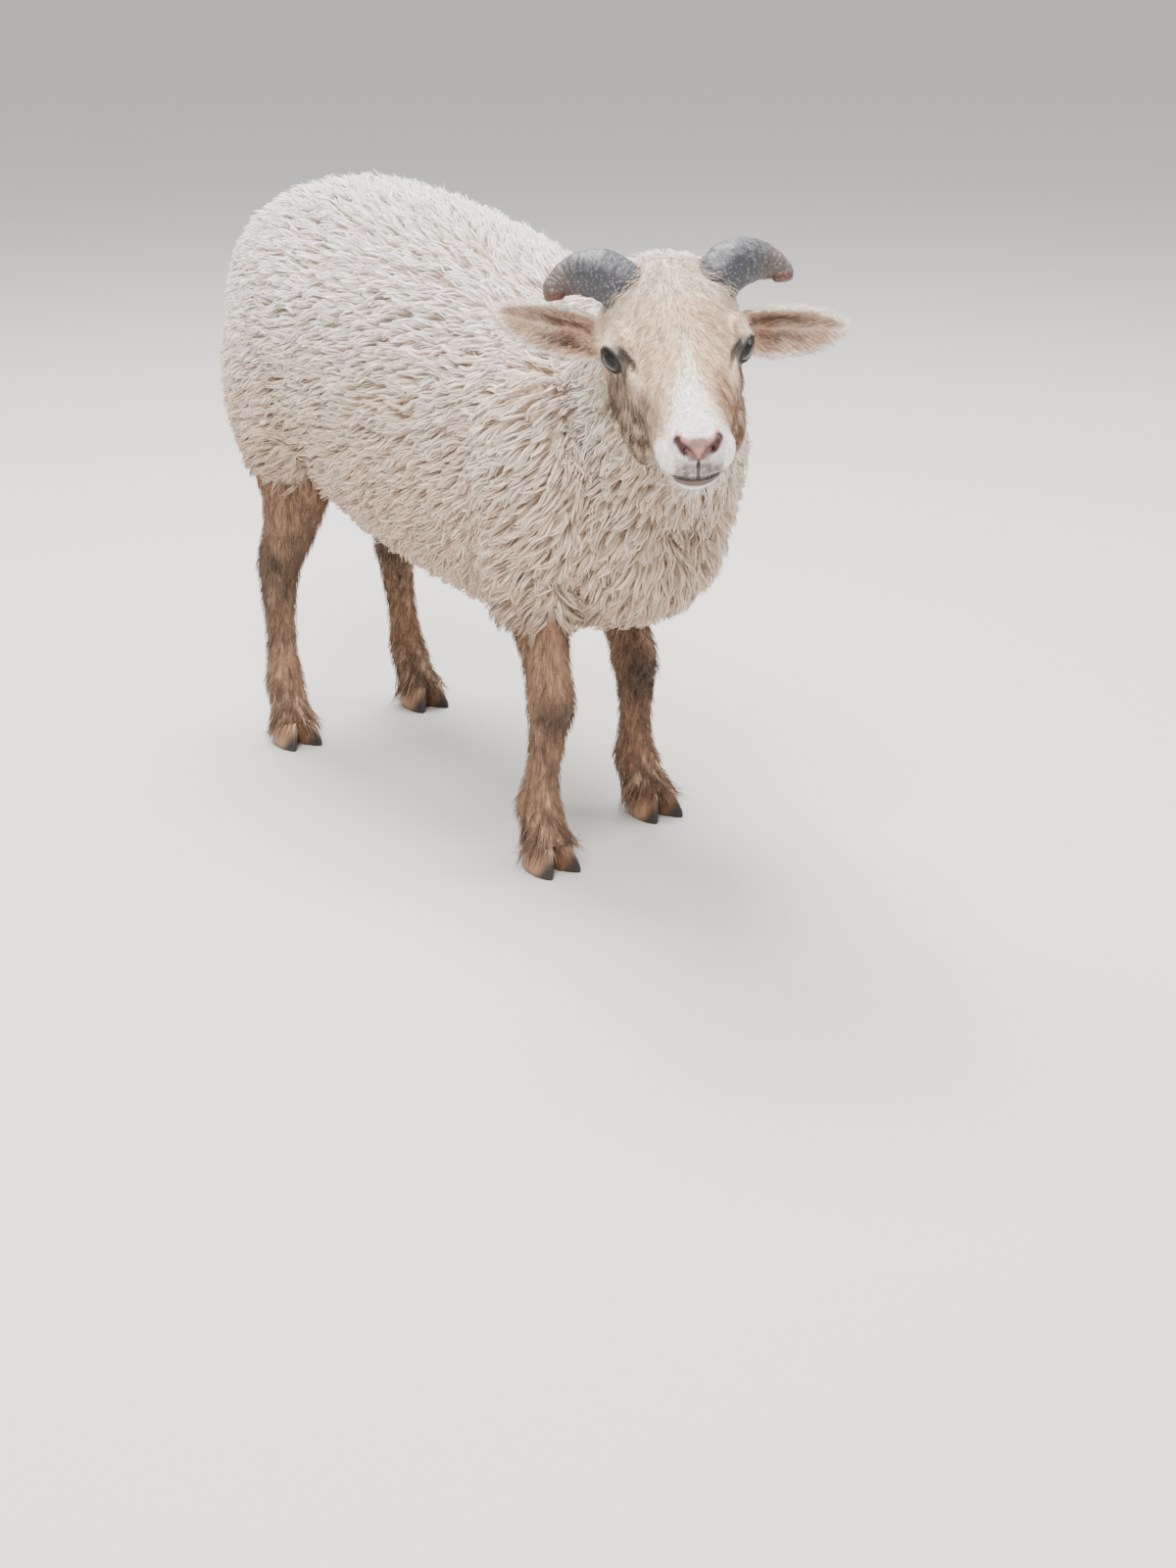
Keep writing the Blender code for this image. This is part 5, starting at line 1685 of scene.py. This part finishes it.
def eye_material():
    """A sheep's eye: a level dark bar of a pupil in a grey-hazel iris with painted lid shadow over its top,
    in a dark ball, under a wet coat.
    """
    material = new_material("eye", roughness=0.45, inputs=WET_EYE)
    tree = material.node_tree
    spot = add_node(tree, "UVMap", uv_map="gaze").outputs["UV"]
    parts = add_node(tree, "SeparateXYZ", {"Vector": spot}).outputs

    def calculate(operation, first, second=0.0):
        return add_node(tree, "Math", {0: first, 1: second}, operation=operation).outputs[0]

    def mask(value, low, high):
        return add_node(tree, "MapRange", {"Value": value, "From Min": low, "From Max": high}).outputs[0]

    def over(share, under, colour):
        inputs = {"Factor": share, "A": under, "B": (*linear(colour), 1)}
        return add_node(tree, "Mix", inputs, data_type="RGBA").outputs["Result"]

    def fourth_power(value, half):
        return calculate("POWER", calculate("ABSOLUTE", calculate("DIVIDE", value, half)), 4.0)

    across = calculate("SUBTRACT", parts["X"], 0.5)
    high = calculate("SUBTRACT", parts["Y"], 0.5)
    bar = calculate("ADD", fourth_power(across, PUPIL_HALF[0]), fourth_power(high, PUPIL_HALF[1]))
    squares = calculate("ADD", calculate("POWER", across, 2.0), calculate("POWER", high, 2.0))
    reach = calculate("SQRT", squares)
    noise = add_node(tree, "TexNoise", {"Vector": spot, "Scale": 34.0, "Detail": 4.0}).outputs["Fac"]
    iris = add_node(tree, "ValToRGB", {"Fac": noise})
    for stop, (position, colour) in zip(iris.color_ramp.elements, IRIS_STOPS):
        stop.position = position
        stop.color = (*linear(colour), 1)
    colour = over(calculate("MULTIPLY", mask(high, -0.09, -0.19), 0.7), iris.outputs["Color"], EYE_PALE)
    # Painted shadow of the upper lid over the top of the eye
    colour = over(calculate("MULTIPLY", mask(high, 0.04, 0.16), 0.8), colour, EYE_SHADE)
    colour = over(mask(bar, 1.3, 0.8), colour, PUPIL)
    colour = over(mask(reach, 0.27, 0.33), colour, EYEBALL)
    set_inputs(tree, shader_of(material), {"Base Color": colour})
    add_relief(material, noise, 0.08, 0.0002)
    return material


def growth_rings(share):
    """The horn's yearly and finer rings, from -1 to 1, at a share of its length."""
    return np.sin(share * 92 + 1.6 * np.sin(share * 17))


def make_horn(side, material):
    """A stout horn that leaves the forehead, arches outwards and turns down, ringed by its growth."""
    rings, sides = 150, 36
    path, sizes = [], []
    for k in range(rings + 1):
        share = k / rings
        left, ahead, up, thick = smooth_between(HORN, share)
        path.append(on_head(side * left, ahead, up))
        growth = float(growth_rings(share)) * 0.6 + math.sin(share * 151) * 0.25
        growth *= HORN_RING * float(step(0.08, 0.2, share)) * (1 - 0.6 * share)
        end = math.sqrt(max(1 - max((share - HORN_END) / 0.062, 0.0) ** 2, 0.02))
        sizes.append(((thick + growth) * end, (thick * 1.06 + growth) * end))
    horn = sweep(f"horn_{side_name(side)}_fine", path, sizes, sides, head_way(0, 1, 0), 0.95)
    points = points_of(horn)
    points = points + normals_of(horn) * (0.0005 * waves(points, 0.009, 70))[:, None]
    set_points(horn, points)
    share = np.concatenate([np.repeat(np.arange(rings + 1) / rings, sides), [0, 1]])
    upward = step(0.1, 0.8, normals_of(horn)[:, 2])
    colours = mix(evenly(HORN_SLATE, len(points)), HORN_BROWN, step(0.35, 0.70, share))
    colours = mix(colours, HORN_TIP, step(0.84, 0.97, share))
    # Painted light: pale patches on the horn's upper side, where it faces up
    colours = mix(colours, HORN_TOP_LIGHT, 0.42 * upward * step(-0.3, 1.0, waves(points, 0.0032, 71)))
    valley = 0.5 - 0.5 * growth_rings(share)
    colours = mix(colours, HORN_VALLEY, 0.45 * valley * step(0.15, 0.3, share))
    colour_attribute(horn.data, colours)
    return finish(horn, material)


def side_name(side):
    return "left" if side > 0 else "right"


def make_eye(side, material):
    """An eyeball with a raised cornea, mapped by where it looks."""
    centre, out, ahead, up = eye_frame(side)
    bpy.ops.object.select_all(action="DESELECT")
    bpy.ops.mesh.primitive_uv_sphere_add(segments=64, ring_count=40, radius=EYE_RADIUS)
    eye = bpy.context.object
    eye.name = f"eye_{side_name(side)}_fine"
    turn = Matrix((ahead, up, out)).transposed().to_4x4()
    points = points_of(eye)
    across = np.linalg.norm(points[:, :2], axis=1)
    points[:, 2] += CORNEA_RISE * np.clip(1 - (across / CORNEA_RADIUS) ** 2, 0, 1) * (points[:, 2] > 0)
    set_points(eye, points)
    layer = eye.data.uv_layers.new(name="gaze")
    index = np.empty(len(eye.data.loops), dtype=np.int32)
    eye.data.loops.foreach_get("vertex_index", index)
    spots = points[index][:, :2] / (2 * EYE_RADIUS) + 0.5
    spots[points[index][:, 2] < 0] = 0.0
    layer.data.foreach_set("uv", spots.astype(np.float32).reshape(-1))
    eye.data.transform(Matrix.Translation(centre) @ turn)
    if turn.determinant() < 0:
        eye.data.flip_normals()
    return finish(eye, material)


def lid_edge(side, angle):
    """A place on the edge of the lids, with the way outward from the eyeball there."""
    centre, out, ahead, up = eye_frame(side)
    c, s = math.cos(angle), math.sin(angle)
    forth = LID_HALF_LENGTH * (LID_AHEAD if c > 0 else LID_BEHIND) * c
    high = LID_HALF_HEIGHT * s - LID_SLANT * forth
    reach = math.sqrt(max(EYE_RADIUS**2 - forth**2 - high**2, 0.0))
    place = centre + out * (reach + 0.0003) + ahead * forth + up * high
    return place, (place - centre).normalized()


def lid_rim(side, material):
    """The wet dark edge of both lids, lying on the eyeball, thicker above."""
    count, sides = 72, 10
    edge = [lid_edge(side, math.tau * k / count) for k in range(count)]
    points, faces = [], []
    for k in range(count):
        way = (edge[(k + 1) % count][0] - edge[k - 1][0]).normalized()
        place, outward = edge[k]
        outward = (outward - way * outward.dot(way)).normalized()
        other = way.cross(outward)
        thick = 0.0005 + 0.0003 * max(0.0, math.sin(math.tau * k / count))
        for i in range(sides):
            angle = math.tau * i / sides
            points.append(place + (outward * math.cos(angle) + other * math.sin(angle)) * thick)
            j, following = (i + 1) % sides, (k + 1) % count
            faces.append((k * sides + i, k * sides + j, following * sides + j, following * sides + i))
    return finish(face_outward(mesh_object(f"lid_{side_name(side)}", points, faces)), material)


def make_lashes(side, material):
    """Pale lashes that hang from the upper lid."""
    centre, out, ahead, up = eye_frame(side)
    count, rows = 30, 5
    centres, normals = [], []
    for k in range(count):
        angle = math.radians(18 + 146 * (k + RNG.uniform(-0.3, 0.3)) / (count - 1))
        place, outward = lid_edge(side, angle)
        way = (outward * 0.7 + out * 0.3 + up * 0.65 + ahead * (0.45 * math.cos(angle))).normalized()
        length = RNG.uniform(0.0035, 0.0060)
        row = []
        for i in range(rows):
            share = i / (rows - 1)
            fall = -up * (length * 0.35 * share**2)
            row.append(place + outward * 0.0006 + way * (length * share) + fall)
        centres.append(row)
        normals.append([outward] * rows)
    centres, normals = np.array(centres), np.array(normals)
    ways = unit(np.gradient(centres, axis=1))
    across = unit(np.cross(normals, ways))
    wide = 0.00016 * np.array([1.0, 1.0, 0.8, 0.5, 0.0]) * np.ones((count, 1))
    tones = np.tile(linear(LASH), (count, rows, 1))
    uv = unwrap(centres[:, 0], normals[:, 0])
    arrays = (centres, across, np.cross(ways, across), wide, wide, tones, uv)
    return strand_mesh(f"lashes_{side_name(side)}", STRAND_SECTION, *arrays, material)


def claw_name(leg_row, side):
    return f"{leg_row[0].replace('leg', '')}_claw_{side_name(side)}"


def make_claw(leg_row, side, material):
    """One of a foot's two claws, pale at the top and dark at the toe."""
    foot_left, foot_ahead = leg_row[1], leg_row[2]
    place, normal = coronet_plane(leg_row)
    sides = 36
    rings, shares, toes = [], [], []
    for share, size in CLAW_LEVELS:
        ring = []
        for i in range(sides):
            angle = math.tau * i / sides
            c, s = math.cos(angle), math.sin(angle)
            toe = max(0.0, s)
            narrow = 1 - 0.42 * toe**2
            out = CLAW_SPLIT + CLAW_HALF_WIDTH * (1 + c * narrow) * size
            along = CLAW_AHEAD * (1 - 0.85 * share) + CLAW_HALF_LENGTH * s * size
            left = foot_left + side * (out + CLAW_TOE_OUT * toe * (0.6 - share))
            spot = on_body(left, foot_ahead + along, 0)
            lift = place.z - ((spot.xy - place.xy).dot(normal.xy)) / normal.z - CLAW_GAP
            ring.append(spot + Vector((0, 0, lift * share)))
            shares.append(share)
            toes.append(s)
        rings.append(ring)
    claw = loft(claw_name(leg_row, side) + "_fine", rings)
    shares, toes = np.array(shares + [0, 1]), np.array(toes + [0, 0])
    colours = mix(evenly(CLAW_TAN, len(shares)), CLAW_PALE, step(0.55, 0.95, shares))
    colours = mix(colours, CLAW_TOE, step(0.2, 0.75, toes * 0.9 - shares * 0.75 + 0.15))
    colours = mix(colours, CLAW_SOLE, 0.5 * (1 - step(0.0, 0.3, shares)))
    colour_attribute(claw.data, colours)
    return finish(claw, material)


def make_dewclaws(material):
    """The two small upper claws behind each pastern."""
    left, ahead, up, *half = DEWCLAW
    made = []
    for _, foot_left, foot_ahead, _, _ in LEGS:
        for sign in (1, -1):
            made.append(ellipsoid("dewclaw", on_body(foot_left + sign * left, foot_ahead + ahead, up), half))
    claws = join(made, "dewclaws")
    colour_attribute(claws.data, evenly(DEWCLAW_BROWN, len(claws.data.vertices)))
    return finish(claws, material)


def paint_skin(skin, coat, bare):
    """Colours the skin by its markings, with painted shade in the nostrils, and gives the nose its own
    material.
    """
    points, normals = points_of(skin), normals_of(skin)
    leg, _, _, face = regions(points)
    colours = mix(marking(points, normals), WOOL_ROOT, 1 - np.maximum(leg, face))
    # Painted shade in and round the nostrils' slits
    depth = np.minimum(*(distance_to_line(points, nostril_line(side))[1] for side in (1, -1)))
    colours = mix(colours, NOSTRIL_SHADE, (1 - step(0.0022, 0.0058, depth)) * (face > 0.5))
    colour_attribute(skin.data, colours)
    skin.data.materials.clear()
    skin.data.materials.append(coat)
    skin.data.materials.append(bare)
    nose = nose_share(points) > 0.5
    index = [int(all(nose[vert] for vert in polygon.vertices)) for polygon in skin.data.polygons]
    skin.data.polygons.foreach_set("material_index", index)


def light(name, place, aim, size, power, colour):
    """A round soft light."""
    data = bpy.data.lights.new(name, "AREA")
    data.shape = "DISK"
    data.size = size
    data.energy = power
    data.color = colour
    obj = bpy.data.objects.new(name, data)
    obj.location = place
    obj.rotation_euler = (Vector(aim) - Vector(place)).to_track_quat("-Z", "Y").to_euler()
    bpy.context.scene.collection.objects.link(obj)


def studio():
    """A pale floor that runs on into a pale background, soft light, and the photograph's camera."""
    bpy.ops.object.select_all(action="DESELECT")
    bpy.ops.mesh.primitive_plane_add(size=FLOOR_SIZE)
    floor = bpy.context.object
    floor.name = "floor"
    floor.data.materials.append(new_material("floor", FLOOR_COLOUR, 0.85))
    world = bpy.data.worlds.new("studio")
    world.use_nodes = True
    values = {"Color": WORLD_LIGHT, "Strength": WORLD_STRENGTH}
    set_inputs(world.node_tree, world.node_tree.nodes["Background"], values)
    bpy.context.scene.world = world
    for row in LIGHTS:
        light(*row)
    camera_data = bpy.data.cameras.new("camera")
    camera_data.lens = CAMERA_LENS
    camera_data.sensor_width = 36
    camera = bpy.data.objects.new("camera", camera_data)
    camera.location = on_body(*CAMERA_PLACE)
    camera.rotation_euler = (math.radians(90) - CAMERA_DOWN, 0, -CAMERA_TURN)
    bpy.context.scene.collection.objects.link(camera)
    bpy.context.scene.camera = camera


FLESH = ["torso", "neck", "tail", "head", "ear_left", "ear_right"] + [leg[0] for leg in LEGS]


def hand_over(slot, *pieces):
    """Fixes pieces to the body; the slot is not used."""
    for piece in pieces:
        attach(piece, "root")


def main():
    grain, fibres = grain_group(), fibre_group()
    wool = fibrous(coat_material("wool", grain, 160.0, 0.10, 0.92, inputs=SOFT_WOOL), fibres, 0.5)
    hair = fibrous(coat_material("hair", grain, 200.0, 0.10, 0.75), fibres, 0.2)
    horn_horn, hoof, wet = horn_material(), hoof_material(), eye_material()
    lid = new_material("lid", LID_RIM, 0.35)

    skin = make_skin()
    paint_skin(skin, coat_material("skin", grain, 420.0, 0.22, 0.80, 0.5), nose_material(grain))
    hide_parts(*FLESH)
    hand_over("face", skin)
    surface = Surface(skin)
    hand_over("fleece", *make_fleece(surface, wool))

    leg, _, _, face = regions(surface.middles)
    face_share = face * (1 - hairless(surface.middles))
    hand_over("face", *make_hair("face_hair", surface, face_share, **FACE_HAIR, material=hair))
    leg_share = leg + claw_hem(leg, surface.middles)
    hand_over("leg", *make_hair("leg_hair", surface, leg_share, **LEG_HAIR, material=hair))

    for side in (1, -1):
        horn = make_horn(side, horn_horn)
        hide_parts(f"horn_{side_name(side)}")
        hand_over("horn", horn)
        eye = make_eye(side, wet)
        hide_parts(f"eye_{side_name(side)}")
        hand_over("eye", eye, lid_rim(side, lid))
        hand_over("face", make_lashes(side, hair))
        for leg_row in LEGS:
            claw = make_claw(leg_row, side, hoof)
            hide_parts(claw_name(leg_row, side))
            hand_over("hoof", claw)
    hand_over("hoof", make_dewclaws(hoof))
    studio()


main()
